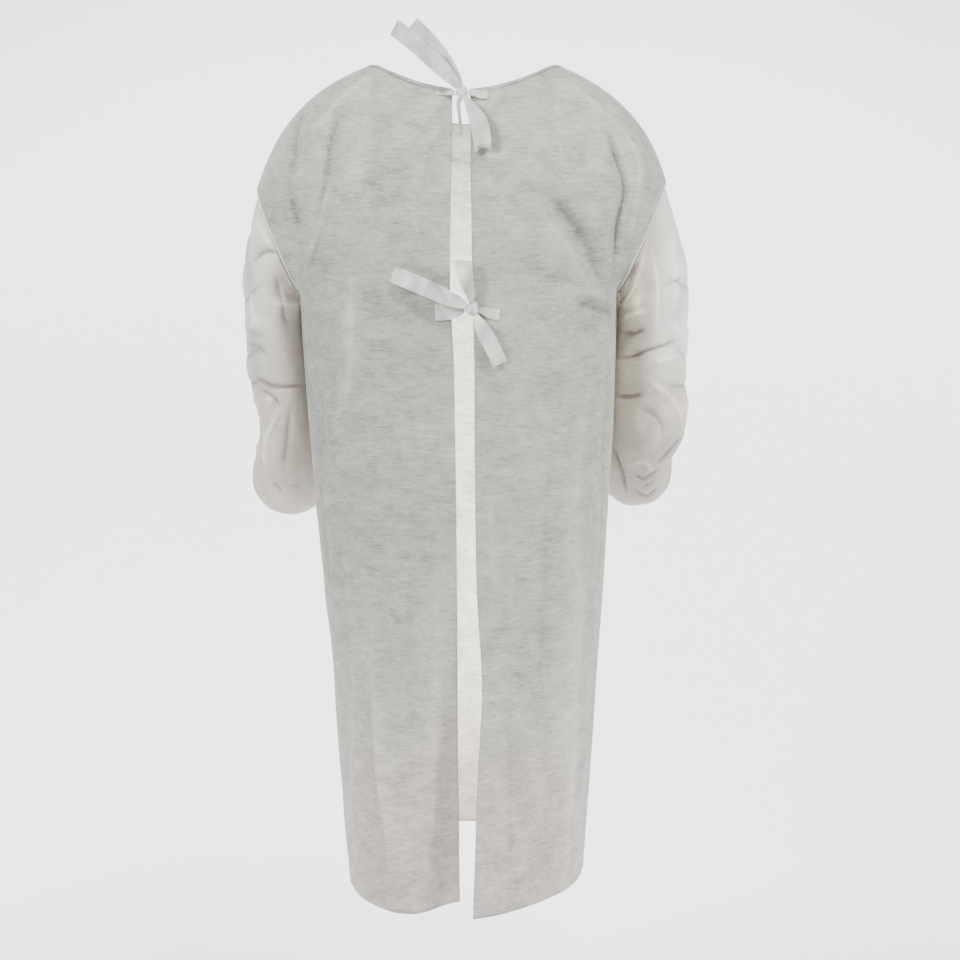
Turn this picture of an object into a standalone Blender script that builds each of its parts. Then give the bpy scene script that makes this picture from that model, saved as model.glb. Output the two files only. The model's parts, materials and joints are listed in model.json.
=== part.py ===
"""Disposable isolation gown in its worn form, without a wearer: the back open, tied at neck and chest.

Metres, +Z up. The front faces -Y, and +X is the wearer's left. The origin is the middle of the line
between the two neck points, where the wearer's shoulders carry the gown.

Each cloth piece is an open surface, worked out from the sizes and tables below, and Solidify adds
its wall on the outer side.
"""

import math
from collections import namedtuple

import bmesh
import bpy
import numpy as np

# Driving sizes
WALL = 0.0012  # cloth
BINDING_WALL, TIE_WALL = 0.0010, 0.0010
SEAM = 0.0003  # clear gap between two pieces that are sewn together
UNDERARM_Z = -0.315
HEM_Z = -1.170
NECK_HALF_WIDTH = 0.127
NECK_BACK_REACH, NECK_BACK_DROP = 0.070, 0.040
NECK_FRONT_REACH, NECK_FRONT_DROP = 0.092, 0.078
BINDING_WIDTH = 0.008
ARMHOLE_HALF_DEPTH = 0.070
ARMHOLE_PART = 0.0032  # how much further down the sleeve starts under the arm, where it folds back
ARMHOLE_CLEAR = 0.0020  # and how much further out, to lie beside the body's wall
ARMHOLE_PULL = 4  # how quickly the yoke turns to follow the armhole; more keeps it nearer the seam
SHOULDER_ROUND = 0.017  # how far the yoke stands out between its edges
SHOULDER_ROUND_PLACE = 0.8  # below 1 it stands out most nearer the middle
CUFF_LENGTH, CUFF_WAVES, CUFF_WAVE_DEPTH = 0.014, 7, 0.045
CUFF_WAIST = 0.93  # how much the elastic draws the casing in
CUFF_WAIST_STARTS, CUFF_WAIST_ENDS = 0.3, 0.7  # shares of its length
TIE_WIDTH = 0.023
KNOT_END_WIDTH = 0.007  # a tie where it goes into its knot
KNOT_GAP = 0.0004
KNOT_LOBES, KNOT_LOBE_DEPTH = 3, 0.10
FOLD_BACK = 0.6  # a strip steeper to the back than this is folding back on itself
NORMAL_STEP = 0.004  # how far apart the back's face is read for its normal

# Shares of a fold's length over which it rises and dies out, and how many rows or columns in from a
# sewn edge the folds reach their full height
FOLD_RISES, FOLD_DIES = (-0.10, 0.25), (0.75, 1.10)
FREE_AFTER, SLEEVE_FREE_AFTER = 2.0, 3.0
GATHER_ROWS = 4  # the sleeve's last rows, drawn in by the elastic

# Columns and rows of each piece's grid, and points on the curves that they are read from
NECK_COLUMNS, SHOULDER_COLUMNS = 5, 7
YOKE_ROWS, SKIRT_ROWS = 13, 17
SLEEVE_ROWS = 22
TIE_COLUMNS, TIE_ROWS_A_STEP = 3, 3
KNOT_SEGMENTS, KNOT_RINGS = 14, 8
EDGE_POINTS, SECTION_POINTS, FACE_COLUMNS = 60, 181, 41

GOWN = "isolation_gown"
LEFT, RIGHT = "left", "right"
SIGN = {LEFT: 1, RIGHT: -1}
COLOURS = {
    "cloth": (0.78, 0.78, 0.76),
    "sleeve": (0.80, 0.78, 0.76),
    "tie": (0.86, 0.86, 0.84),
}
ROUGHNESS = 0.85

# Skirt sections, from the underarm to the hem: half widths, the y of the widest point, the reach of
# the back and front from there, how square each back quarter is (2 is round), how far each back edge
# lies from the middle, and how far the left back edge turns in.
Level = namedtuple(
    "Level", "z left right widest_y back front square_left square_right gap_left gap_right tuck_left"
)
LEVELS = [
    Level(-0.315, 0.2330, 0.2150, 0.012, 0.132, 0.160, 2.6, 2.6, 0.0190, 0.0110, 0.000),
    Level(-0.400, 0.2285, 0.2130, 0.012, 0.137, 0.164, 2.6, 2.6, 0.0135, 0.0135, 0.000),
    Level(-0.500, 0.2225, 0.2115, 0.010, 0.143, 0.165, 2.5, 2.5, 0.0120, 0.0140, 0.002),
    Level(-0.620, 0.2140, 0.2050, 0.008, 0.152, 0.168, 2.4, 2.3, 0.0105, 0.0150, 0.006),
    Level(-0.740, 0.2040, 0.2000, 0.004, 0.163, 0.172, 2.3, 2.1, 0.0098, 0.0175, 0.012),
    Level(-0.850, 0.1930, 0.1930, 0.000, 0.174, 0.176, 2.3, 1.9, 0.0095, 0.0250, 0.022),
    Level(-0.950, 0.1890, 0.1880, 0.000, 0.184, 0.180, 2.3, 1.8, 0.0090, 0.0190, 0.034),
    Level(-1.060, 0.1810, 0.1810, 0.000, 0.196, 0.186, 2.3, 1.7, 0.0080, 0.0150, 0.050),
    Level(-1.170, 0.1710, 0.1740, 0.000, 0.207, 0.192, 2.3, 1.6, 0.0070, 0.0115, 0.066),
]
TUCK_REACH = 0.075  # how far from the left back edge that turn dies out
FRONT_SQUARE = 1.9
NECK_GAP_EASE = 0.003  # how much closer the back edges lie at the neckline than at the underarm

# Where each armhole seam tops out on the shoulder, and the two handles of the shoulder's curve
Shoulder = namedtuple("Shoulder", "top_x top_z near_x near_z far_x far_z")
SHOULDERS = {
    LEFT: Shoulder(0.292, -0.170, 0.218, -0.028, 0.268, -0.088),
    RIGHT: Shoulder(0.283, -0.160, 0.200, -0.026, 0.262, -0.076),
}

# Sleeve sections, from just below the armhole seam to the wrist: the middle, the tilts in degrees
# (lean lifts the outer side, pitch turns the section to face forwards), and the half sizes
Ring = namedtuple("Ring", "x y z lean pitch half_width half_depth")
SLEEVES = {
    LEFT: [
        Ring(0.2772, -0.008, -0.2815, 49, 0, 0.0545, 0.0700),
        Ring(0.2765, -0.024, -0.3150, 35, 0, 0.0515, 0.0700),
        Ring(0.2758, -0.036, -0.3520, 21, 0, 0.0488, 0.0700),
        Ring(0.2725, -0.044, -0.3900, 7, 0, 0.0485, 0.0700),
        Ring(0.2703, -0.050, -0.4250, 0, 4, 0.0492, 0.0690),
        Ring(0.2658, -0.056, -0.4580, 0, 12, 0.0482, 0.0670),
        Ring(0.2600, -0.065, -0.4920, 0, 24, 0.0470, 0.0650),
        Ring(0.2583, -0.082, -0.5300, 0, 34, 0.0478, 0.0620),
        Ring(0.2640, -0.104, -0.5670, 0, 41, 0.0535, 0.0590),
        Ring(0.2685, -0.127, -0.5970, 0, 46, 0.0560, 0.0570),
        Ring(0.2680, -0.149, -0.6160, 0, 52, 0.0535, 0.0510),
        Ring(0.2680, -0.166, -0.6240, 0, 60, 0.0440, 0.0415),
        Ring(0.2685, -0.180, -0.6270, 0, 68, 0.0345, 0.0330),
    ],
    RIGHT: [
        Ring(0.2637, -0.008, -0.2780, 51, 0, 0.0613, 0.0700),
        Ring(0.2692, -0.024, -0.3125, 34, 0, 0.0600, 0.0700),
        Ring(0.2665, -0.036, -0.3500, 20, 0, 0.0570, 0.0700),
        Ring(0.2640, -0.044, -0.3880, 6, 0, 0.0550, 0.0700),
        Ring(0.2623, -0.050, -0.4250, 0, 4, 0.0560, 0.0690),
        Ring(0.2630, -0.056, -0.4580, 0, 12, 0.0585, 0.0670),
        Ring(0.2643, -0.065, -0.4920, 0, 22, 0.0613, 0.0650),
        Ring(0.2640, -0.080, -0.5280, 0, 33, 0.0615, 0.0610),
        Ring(0.2560, -0.102, -0.5620, 0, 41, 0.0535, 0.0570),
        Ring(0.2590, -0.125, -0.5880, 0, 46, 0.0545, 0.0545),
        Ring(0.2595, -0.145, -0.6040, 0, 52, 0.0520, 0.0485),
        Ring(0.2605, -0.162, -0.6110, 0, 60, 0.0425, 0.0400),
        Ring(0.2605, -0.175, -0.6140, 0, 68, 0.0340, 0.0320),
    ],
}

# Largest folds, each a ridge (rise above 0) or a trough along a line. On the body the line runs in x
# and z, as seen from behind or from the front. On a sleeve it runs in degrees round (0 is the outer
# side, 90 the back, 180 next to the body) and in metres down from the armhole seam.
Fold = namedtuple("Fold", "start_a start_b end_a end_b half_width rise")
BACK_FOLDS = [
    Fold(0.130, -0.030, 0.235, -0.095, 0.022, 0.006),
    Fold(0.158, -0.060, 0.205, -0.215, 0.026, -0.009),
    Fold(0.178, -0.160, 0.222, -0.285, 0.020, 0.009),
    Fold(0.244, -0.160, 0.240, -0.250, 0.018, -0.008),
    Fold(0.206, -0.330, 0.196, -0.540, 0.036, -0.009),
    Fold(0.150, -0.280, 0.172, -0.640, 0.024, 0.006),
    Fold(0.118, -0.800, 0.122, -1.180, 0.024, 0.006),
    Fold(-0.145, -0.050, -0.195, -0.100, 0.018, 0.006),
    Fold(-0.196, -0.080, -0.230, -0.190, 0.020, -0.010),
    Fold(-0.105, -0.165, -0.195, -0.310, 0.034, -0.011),
    Fold(-0.100, -0.230, -0.195, -0.335, 0.022, 0.008),
    Fold(-0.160, -0.355, -0.200, -0.370, 0.020, -0.006),
    Fold(-0.160, -0.500, -0.150, -1.180, 0.035, 0.006),
]
FRONT_FOLDS = [
    Fold(0.130, -0.040, 0.215, -0.270, 0.026, -0.008),
    Fold(-0.130, -0.040, -0.205, -0.270, 0.026, -0.008),
    Fold(0.155, -0.160, 0.200, -0.330, 0.024, 0.007),
    Fold(-0.150, -0.150, -0.190, -0.330, 0.024, 0.007),
    Fold(0.110, -0.300, 0.125, -1.180, 0.030, 0.010),
    Fold(0.050, -0.420, 0.060, -1.180, 0.030, -0.009),
    Fold(-0.020, -0.500, -0.010, -1.180, 0.030, 0.008),
    Fold(-0.090, -0.380, -0.085, -1.180, 0.032, -0.010),
    Fold(-0.140, -0.300, -0.135, -1.180, 0.026, 0.009),
]
SLEEVE_FOLDS = {
    LEFT: [
        Fold(20, 0.020, 110, 0.060, 0.016, 0.005),
        Fold(40, 0.060, 130, 0.085, 0.018, -0.005),
        Fold(10, 0.185, 130, 0.225, 0.014, -0.006),
        Fold(60, 0.215, 130, 0.235, 0.012, 0.005),
        Fold(0, 0.250, 130, 0.240, 0.014, -0.006),
        Fold(120, 0.260, 40, 0.320, 0.016, 0.006),
        Fold(225, 0.200, 350, 0.250, 0.016, -0.005),
        Fold(230, 0.060, 330, 0.110, 0.018, -0.005),
    ],
    RIGHT: [
        Fold(30, 0.020, 110, 0.050, 0.016, 0.005),
        Fold(100, 0.030, 125, 0.120, 0.016, 0.006),
        Fold(60, 0.040, 60, 0.130, 0.018, -0.006),
        Fold(20, 0.160, 130, 0.200, 0.014, -0.006),
        Fold(40, 0.185, 130, 0.215, 0.012, 0.005),
        Fold(30, 0.225, 130, 0.245, 0.014, -0.006),
        Fold(110, 0.320, 20, 0.290, 0.016, -0.005),
        Fold(225, 0.190, 350, 0.240, 0.016, -0.005),
        Fold(230, 0.060, 330, 0.110, 0.018, -0.005),
    ],
}
SLEEVE_FOLD_RADIUS = 0.060  # turns degrees round a sleeve into metres

# The knots and the tie stretches that meet them, placed as seen from behind: out is how far a point
# lies behind the back's outer face, and turn rolls the strip about its own line, in degrees
Knot = namedtuple("Knot", "x z out half_width half_depth half_height")
KNOTS = {
    "neck_knot": Knot(0.0030, -0.0440, 0.0090, 0.0085, 0.0065, 0.0090),
    "back_knot": Knot(-0.0110, -0.3340, 0.0080, 0.0095, 0.0070, 0.0095),
}
Step = namedtuple("Step", "x z out width turn")
Tie = namedtuple("Tie", "knot starts_at_knot ends_at_knot steps")
TIES = {
    "neck_tie_end_left": Tie("neck_knot", False, True, [
        Step(0.0380, -0.0450, 0.0028, 0.0060, 0), Step(0.0290, -0.0450, 0.0030, 0.0065, 0),
        Step(0.0190, -0.0450, 0.0070, 0.0070, 0),
    ]),
    "neck_tie_end_right": Tie("neck_knot", False, True, [
        Step(-0.0320, -0.0470, 0.0026, 0.0130, 0), Step(-0.0220, -0.0470, 0.0030, 0.0130, 0),
        Step(-0.0130, -0.0450, 0.0080, 0.0095, 0),
    ]),
    "neck_tail_long": Tie("neck_knot", True, False, [
        Step(0.0150, -0.0290, 0.0165, 0.0140, 0), Step(0.0330, -0.0100, 0.0170, 0.0220, 5),
        Step(0.0620, 0.0170, 0.0150, TIE_WIDTH, 6), Step(0.0955, 0.0450, 0.0120, TIE_WIDTH, 0),
    ]),
    "neck_tail_short": Tie("neck_knot", True, False, [
        Step(0.0090, -0.0270, 0.0060, 0.0120, 0), Step(0.0230, -0.0060, 0.0070, 0.0190, -5),
        Step(0.0440, 0.0200, 0.0060, TIE_WIDTH, -6), Step(0.0710, 0.0480, 0.0040, TIE_WIDTH, 0),
    ]),
    "neck_loop_wide": Tie("neck_knot", True, True, [
        Step(-0.0070, -0.0610, 0.0180, 0.0130, 0), Step(-0.0190, -0.0840, 0.0220, 0.0230, 0),
        Step(-0.0240, -0.1070, 0.0225, 0.0250, 0), Step(-0.0245, -0.1180, 0.0190, 0.0250, 0),
        Step(-0.0240, -0.1180, 0.0100, 0.0240, 0), Step(-0.0220, -0.1070, 0.0070, 0.0210, 0),
        Step(-0.0150, -0.0860, 0.0060, 0.0160, 0),
        Step(-0.0080, -0.0620, 0.0070, 0.0090, 0),
    ]),
    "neck_loop_narrow": Tie("neck_knot", True, False, [
        Step(0.0080, -0.0610, 0.0110, 0.0080, 50), Step(0.0060, -0.0780, 0.0140, 0.0130, 72),
        Step(0.0040, -0.1000, 0.0140, 0.0150, 76),
    ]),
    "back_tie_end_left": Tie("back_knot", False, True, [
        Step(0.0390, -0.3390, 0.0010, 0.0230, 0), Step(0.0230, -0.3385, 0.0014, 0.0220, 0),
        Step(0.0080, -0.3370, 0.0060, 0.0160, 0),
    ]),
    "back_tie_end_right": Tie("back_knot", False, True, [
        Step(-0.0480, -0.3420, 0.0010, 0.0150, 0), Step(-0.0380, -0.3410, 0.0014, 0.0150, 0),
        Step(-0.0290, -0.3380, 0.0060, 0.0110, 0),
    ]),
    "back_tail_upper": Tie("back_knot", True, False, [
        Step(0.0060, -0.3260, 0.0160, 0.0150, 0), Step(0.0230, -0.3190, 0.0180, 0.0210, 0),
        Step(0.0560, -0.3040, 0.0140, TIE_WIDTH, 0), Step(0.0960, -0.2880, 0.0060, TIE_WIDTH, 0),
    ]),
    "back_loop_upper": Tie("back_knot", True, True, [
        Step(-0.0080, -0.3140, 0.0180, 0.0120, 0), Step(-0.0030, -0.2940, 0.0230, 0.0200, 0),
        Step(0.0000, -0.2780, 0.0220, 0.0220, 0), Step(0.0000, -0.2700, 0.0160, 0.0220, 0),
        Step(-0.0010, -0.2780, 0.0100, 0.0210, 0), Step(-0.0090, -0.3120, 0.0080, 0.0110, 0),
    ]),
    "back_tail_lower": Tie("back_knot", True, False, [
        Step(-0.0210, -0.3540, 0.0150, 0.0160, 0), Step(-0.0300, -0.3700, 0.0170, 0.0210, 0),
        Step(-0.0390, -0.3870, 0.0120, 0.0210, 5), Step(-0.0485, -0.4080, 0.0080, 0.0210, 8),
    ]),
}


def smooth_step(low, high, value):
    share = np.clip((value - low) / (high - low), 0.0, 1.0)
    return share * share * (3 - 2 * share)


def unit(vectors):
    return vectors / np.maximum(np.linalg.norm(vectors, axis=-1, keepdims=True), 1e-9)


def lengths_along(points):
    """The distance along a line to each of its points."""
    return np.concatenate([[0.0], np.cumsum(np.linalg.norm(np.diff(points, axis=0), axis=1))])


def curve_through(known, values, at):
    """A smooth curve through values, one at each known place, read at the given places."""
    known, values, at = np.asarray(known, float), np.asarray(values, float), np.asarray(at, float)
    slopes = np.gradient(values, known, axis=0)
    spans = np.clip(np.searchsorted(known, at, side="right") - 1, 0, len(known) - 2)
    width = known[spans + 1] - known[spans]
    t = (at - known[spans]) / width
    inner = (1,) * (values.ndim - 1)
    t, width = np.reshape(t, np.shape(t) + inner), np.reshape(width, np.shape(width) + inner)
    return (
        (2 * t**3 - 3 * t**2 + 1) * values[spans]
        + (t**3 - 2 * t**2 + t) * width * slopes[spans]
        + (3 * t**2 - 2 * t**3) * values[spans + 1]
        + (t**3 - t**2) * width * slopes[spans + 1]
    )


def by_length(points, shares):
    """The points at the given shares of a line's length."""
    along = lengths_along(points)
    return np.stack([np.interp(shares * along[-1], along, points[:, k]) for k in range(3)], axis=1)


def level_at(z):
    """The skirt's section sizes at one height."""
    return Level(*curve_through([-level.z for level in LEVELS], LEVELS, -z))


def skirt_line(panel, side, z, shares):
    """Half of a level section, from the middle to the side seam."""
    level = level_at(z)
    turn = np.linspace(0.0, math.pi / 2, SECTION_POINTS)
    if panel == "back":
        square, reach, gap = getattr(level, f"square_{side}"), level.back, getattr(level, f"gap_{side}")
    else:
        square, reach, gap = FRONT_SQUARE, -level.front, 0.0
    x = getattr(level, side) * np.sin(turn) ** (2 / square)
    y = level.widest_y + reach * np.cos(turn) ** (2 / square)
    if panel == "back" and side == LEFT:
        y = y - level.tuck_left * (1 - smooth_step(0.0, TUCK_REACH, x - gap))
    kept = x > gap
    y = np.append(np.interp(gap, x, y), y[kept])
    x = np.append(gap, x[kept])
    return by_length(np.stack([SIGN[side] * x, y, np.full_like(x, z)], axis=1), shares)


def neck_line(panel, side):
    """Half of the neckline, from the middle out to the neck point."""
    if panel == "back":
        gap = getattr(LEVELS[0], f"gap_{side}") - NECK_GAP_EASE
        reach, drop = NECK_BACK_REACH, NECK_BACK_DROP
    else:
        gap, reach, drop = 0.0, -NECK_FRONT_REACH, NECK_FRONT_DROP
    turn = np.linspace(math.asin(gap / NECK_HALF_WIDTH), math.pi / 2, EDGE_POINTS)
    x = SIGN[side] * NECK_HALF_WIDTH * np.sin(turn)
    return np.stack([x, reach * np.cos(turn), -drop * np.cos(turn) ** 2], axis=1)


def shoulder_line(side):
    """The shoulder, a cubic curve from the neck point to the top of the armhole seam."""
    s = SHOULDERS[side]
    handles = np.array(
        [(NECK_HALF_WIDTH, 0.0), (s.near_x, s.near_z), (s.far_x, s.far_z), (s.top_x, s.top_z)]
    )
    t = np.linspace(0.0, 1.0, EDGE_POINTS)[:, None]
    shares = np.concatenate([(1 - t) ** 3, 3 * t * (1 - t) ** 2, 3 * t**2 * (1 - t), t**3], axis=1)
    xz = shares @ handles
    return np.stack([SIGN[side] * xz[:, 0], np.zeros(EDGE_POINTS), xz[:, 1]], axis=1)


def armhole_ring(side, turns):
    """The armhole seam: turn 0 is on the shoulder, a quarter at the back, a half under the arm."""
    s = SHOULDERS[side]
    top = np.array([SIGN[side] * s.top_x, 0.0, s.top_z])
    under = np.array([SIGN[side] * getattr(LEVELS[0], side), LEVELS[0].widest_y, UNDERARM_Z])
    middle, up = (top + under) / 2, (top - under) / 2
    out = np.array([0.0, ARMHOLE_HALF_DEPTH, 0.0])
    return middle + np.multiply.outer(np.cos(turns), up) + np.multiply.outer(np.sin(turns), out)


def panel_columns(panel, side):
    """The shares of the panel's top edge where its columns start, with one at the neck point."""
    neck, shoulder = lengths_along(neck_line(panel, side))[-1], lengths_along(shoulder_line(side))[-1]
    at_neck = neck / (neck + shoulder)
    first = np.linspace(0.0, at_neck, NECK_COLUMNS + 1)
    binding_edge = at_neck + BINDING_WIDTH / (neck + shoulder)
    return np.append(first, np.linspace(binding_edge, 1.0, SHOULDER_COLUMNS))


def yoke_rows():
    """The shares of the yoke's height where its rows lie, with one at the binding's lower edge."""
    binding_edge = BINDING_WIDTH / -UNDERARM_Z
    return np.append(0.0, np.linspace(binding_edge, 1.0, YOKE_ROWS))


def hump(share):
    """A rise that starts at once and dies out flat, over shares from 0 to 1. It is 1 at a third."""
    return 27 / 4 * share * (1 - share) ** 2


def yoke_grid(panel, side, across, down):
    """The panel above the underarm, a smooth patch between its four edges."""
    face = 1 if panel == "back" else -1
    top = by_length(np.concatenate([neck_line(panel, side), shoulder_line(side)[1:]]), across)
    bottom = skirt_line(panel, side, UNDERARM_Z, across)
    seam = armhole_ring(side, face * math.pi * down)
    middle = top[0] + np.outer(down, bottom[0] - top[0])
    middle[:, 1] = top[0, 1] + np.sin(down * math.pi / 2) * (bottom[0, 1] - top[0, 1])
    hanging = top[-1] + np.outer(down, bottom[-1] - top[-1])
    hanging[:, 1] += face * ARMHOLE_HALF_DEPTH * hump(down)
    u, v = across[None, :, None], down[:, None, None]
    w = v * v * (3 - 2 * v)
    outer = hanging[:, None] + u**ARMHOLE_PULL * (seam - hanging)[:, None]
    grid = (1 - u) * middle[:, None] + u * outer
    grid = grid + (1 - w) * (top - (1 - u) * top[0] - u * top[-1])
    grid = grid + w * (bottom - (1 - u) * bottom[0] - u * bottom[-1])
    swell = SHOULDER_ROUND * (hump(v) * np.sin(math.pi * u**SHOULDER_ROUND_PLACE))[..., 0]
    grid[..., 1] += face * swell
    grid[..., 2] += swell * (1 - v[..., 0])
    return grid


def body_grid(panel, side, across):
    """Rows of points from the neck and shoulder down to the hem."""
    yoke = yoke_grid(panel, side, across, yoke_rows())
    heights = np.linspace(UNDERARM_Z, HEM_Z, SKIRT_ROWS + 1)[1:]
    return np.concatenate([yoke, [skirt_line(panel, side, z, across) for z in heights]])


def grid_normals(grid):
    """The outward normals of a grid whose rows run down and columns run clockwise, seen from above."""
    across, down = np.gradient(grid, axis=1), np.gradient(grid, axis=0)
    return unit(np.cross(across, down))


def fold_height(folds, a, b):
    """The sum of the folds at each place (a, b)."""
    total = np.zeros_like(a)
    for fold in folds:
        start = np.array([fold.start_a, fold.start_b])
        line = np.array([fold.end_a, fold.end_b]) - start
        length = np.linalg.norm(line)
        line = line / length
        along = ((a - start[0]) * line[0] + (b - start[1]) * line[1]) / length
        off = (a - start[0]) * line[1] - (b - start[1]) * line[0]
        fade = smooth_step(*FOLD_RISES, along) * (1 - smooth_step(*FOLD_DIES, along))
        total += fold.rise * fade * np.exp(-((off / fold.half_width) ** 2))
    return total


def folded(grid, folds, free_columns):
    """The grid moved out by its folds, and left where it is on the edges that are sewn."""
    rise = fold_height(folds, grid[..., 0], grid[..., 2])
    free_rows = np.clip(np.arange(len(grid)) / FREE_AFTER, 0.0, 1.0)
    return grid + (rise * np.outer(free_rows, free_columns))[..., None] * grid_normals(grid)


def back_grid(side):
    """A back panel, its columns towards the wearer's left."""
    grid = body_grid("back", side, panel_columns("back", side))
    free_columns = np.clip(np.arange(grid.shape[1])[::-1] / FREE_AFTER, 0.0, 1.0)
    order = np.s_[:: SIGN[side]]
    return folded(grid[:, order], BACK_FOLDS, free_columns[order])


def front_grid():
    """The front panel, its columns towards the wearer's right."""
    left, right = (body_grid("front", side, panel_columns("front", side)) for side in (LEFT, RIGHT))
    grid = np.concatenate([left[:, ::-1], right[:, 1:]], axis=1)
    place = np.arange(grid.shape[1])
    free_columns = np.clip(np.minimum(place, place[::-1]) / FREE_AFTER, 0.0, 1.0)
    return folded(grid, FRONT_FOLDS, free_columns)


def parted(grid, edge, distance):
    """The grid with one edge drawn back along its own rows or columns."""
    near, beyond = {
        "top": (np.s_[0], np.s_[1]),
        "first": (np.s_[:, 0], np.s_[:, 1]),
        "last": (np.s_[:, -1], np.s_[:, -2]),
    }[edge]
    grid = grid.copy()
    grid[near] += unit(grid[beyond] - grid[near]) * np.reshape(distance, (-1, 1))
    return grid


def finished(name, mesh, material, wall=0.0, offset=1.0):
    """The mesh as an object of the gown, with a wall where one is given."""
    data = bpy.data.meshes.new(name)
    mesh.to_mesh(data)
    mesh.free()
    data.shade_smooth()
    data.materials.append(material)
    made = bpy.data.objects.new(name, data)
    bpy.data.collections[GOWN].objects.link(made)
    if wall:
        solid = made.modifiers.new("wall", "SOLIDIFY")
        solid.thickness = wall
        solid.offset = offset
        solid.use_even_offset = True
        solid.use_quality_normals = True
    return made


def sheet(name, grid, material, wall, offset=1.0):
    """A grid mesh laid on the points. An offset of 1 puts its wall on the side of grid_normals."""
    rows, columns = grid.shape[:2]
    mesh = bmesh.new()
    bmesh.ops.create_grid(mesh, x_segments=columns - 1, y_segments=rows - 1, size=1.0)
    for vertex in mesh.verts:
        column = round((vertex.co.x + 1) / 2 * (columns - 1))
        row = round((vertex.co.y + 1) / 2 * (rows - 1))
        vertex.co = grid[row, column]
    bmesh.ops.remove_doubles(mesh, verts=mesh.verts, dist=1e-6)
    return finished(name, mesh, material, wall, offset)


def body_panel(name, grid, material):
    """A panel drawn back from its seams. Its edges at the centre back and hem stay where they are."""
    for edge in ("top", "first", "last"):
        grid = parted(grid, edge, SEAM / 2)
    return sheet(name, grid, material, WALL)


def ring_points(ring, side, turns):
    """A section of the sleeve as an ellipse, from its outer side round by its back."""
    lean, pitch = math.radians(ring.lean), math.radians(ring.pitch)
    wide = np.array([math.cos(lean), 0.0, math.sin(lean)])
    deep = np.array([0.0, math.cos(pitch), -math.sin(pitch)])
    points = np.multiply.outer(ring.half_width * np.cos(turns), wide)
    points = points + np.multiply.outer(ring.half_depth * np.sin(turns), deep)
    return (points + [ring.x, ring.y, ring.z]) * np.array([SIGN[side], 1.0, 1.0])


def gathers(turns):
    """How far the elastic's gathers lift the cloth, as a share of the wrist's radius."""
    return 1 + CUFF_WAVE_DEPTH * np.cos(CUFF_WAVES * turns)


def sleeve_turns():
    """The sleeve's columns round from the outer side, which meet the rows of the back and front."""
    half = yoke_rows() * math.pi
    return np.concatenate([half, 2 * math.pi - half[-2::-1]])


def sleeve_grid(side):
    """A sleeve from the armhole seam to the wrist."""
    turns = sleeve_turns()
    under = (1 - np.cos(turns)) / 2
    seam = armhole_ring(side, turns) + np.outer(under, [SIGN[side] * ARMHOLE_CLEAR, 0.0, 0.0])
    sections = np.stack([seam] + [ring_points(ring, side, turns) for ring in SLEEVES[side]])
    rows = np.arange(SLEEVE_ROWS + 1)
    grid = curve_through(np.arange(len(sections)), sections, rows / SLEEVE_ROWS * (len(sections) - 1))
    middles = grid[:, :-1].mean(axis=1)
    round_place = np.broadcast_to(turns * SLEEVE_FOLD_RADIUS, grid.shape[:2])
    down_place = np.broadcast_to(lengths_along(middles)[:, None], grid.shape[:2])
    metres = math.radians(1) * SLEEVE_FOLD_RADIUS
    folds = [
        fold._replace(start_a=fold.start_a * metres, end_a=fold.end_a * metres)
        for fold in SLEEVE_FOLDS[side]
    ]
    gathered = smooth_step(SLEEVE_ROWS - GATHER_ROWS, SLEEVE_ROWS, rows)[:, None]
    rise = fold_height(folds, round_place, down_place)
    rise = rise * smooth_step(0.0, SLEEVE_FREE_AFTER, rows)[:, None] * (1 - gathered)
    out = grid - middles[:, None]
    size = 1 + gathered * (gathers(turns) - 1)
    grid = middles[:, None] + out * size[..., None] + rise[..., None] * unit(out)
    grid = parted(grid, "top", SEAM + ARMHOLE_PART * under)
    grid[:, -1] = grid[:, 0]
    return grid


def cuff_grid(side):
    """The elastic casing at the wrist, on from the sleeve's last section."""
    turns = sleeve_turns()
    wrist = SLEEVES[side][-1]
    pitch = math.radians(wrist.pitch)
    along = np.array([0.0, -math.sin(pitch), -math.cos(pitch)])
    points = ring_points(wrist, side, turns)
    middle = points[:-1].mean(axis=0)
    out = (points - middle) * gathers(turns)[:, None]
    steps = (
        (SEAM, 1.0),
        (CUFF_LENGTH * CUFF_WAIST_STARTS, CUFF_WAIST),
        (CUFF_LENGTH * CUFF_WAIST_ENDS, CUFF_WAIST),
        (CUFF_LENGTH, 1.0),
    )
    grid = np.stack([middle + out * size + along * down for down, size in steps])
    grid[:, -1] = grid[:, 0]
    return grid


def tube(name, grid, side, material):
    """A closed ring of cloth. The left one's columns are turned round, to face outwards."""
    return sheet(name, grid[:, ::-SIGN[side]], material, WALL)


def mitred(first, second):
    """Between two outward normals, as long as the corner of two walls needs."""
    between = unit(first + second)
    return between / np.maximum((between * first).sum(axis=-1, keepdims=True), 0.5)


def binding_side(back, back_normals, front, front_normals):
    """The neckline and the binding's lower edge, from the back's middle over the shoulder to the
    front's middle, on the panels' first two rows. The grids given run from their middle outwards."""
    point = NECK_COLUMNS
    lift = WALL + SEAM
    ridge = mitred(back_normals[0, point : point + 2], front_normals[0, point : point + 2]) * lift
    runs = []
    for grid, normals in ((back, back_normals), (front, front_normals)):
        moved = grid[:2, : point + 1] + normals[:2, : point + 1] * lift
        moved[0, point] = grid[0, point] + ridge[0]
        runs.append(moved)
    corner = (back[0, point : point + 2] + ridge)[:, None]
    return np.concatenate([runs[0], corner, runs[1][:, ::-1]], axis=1)


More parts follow.
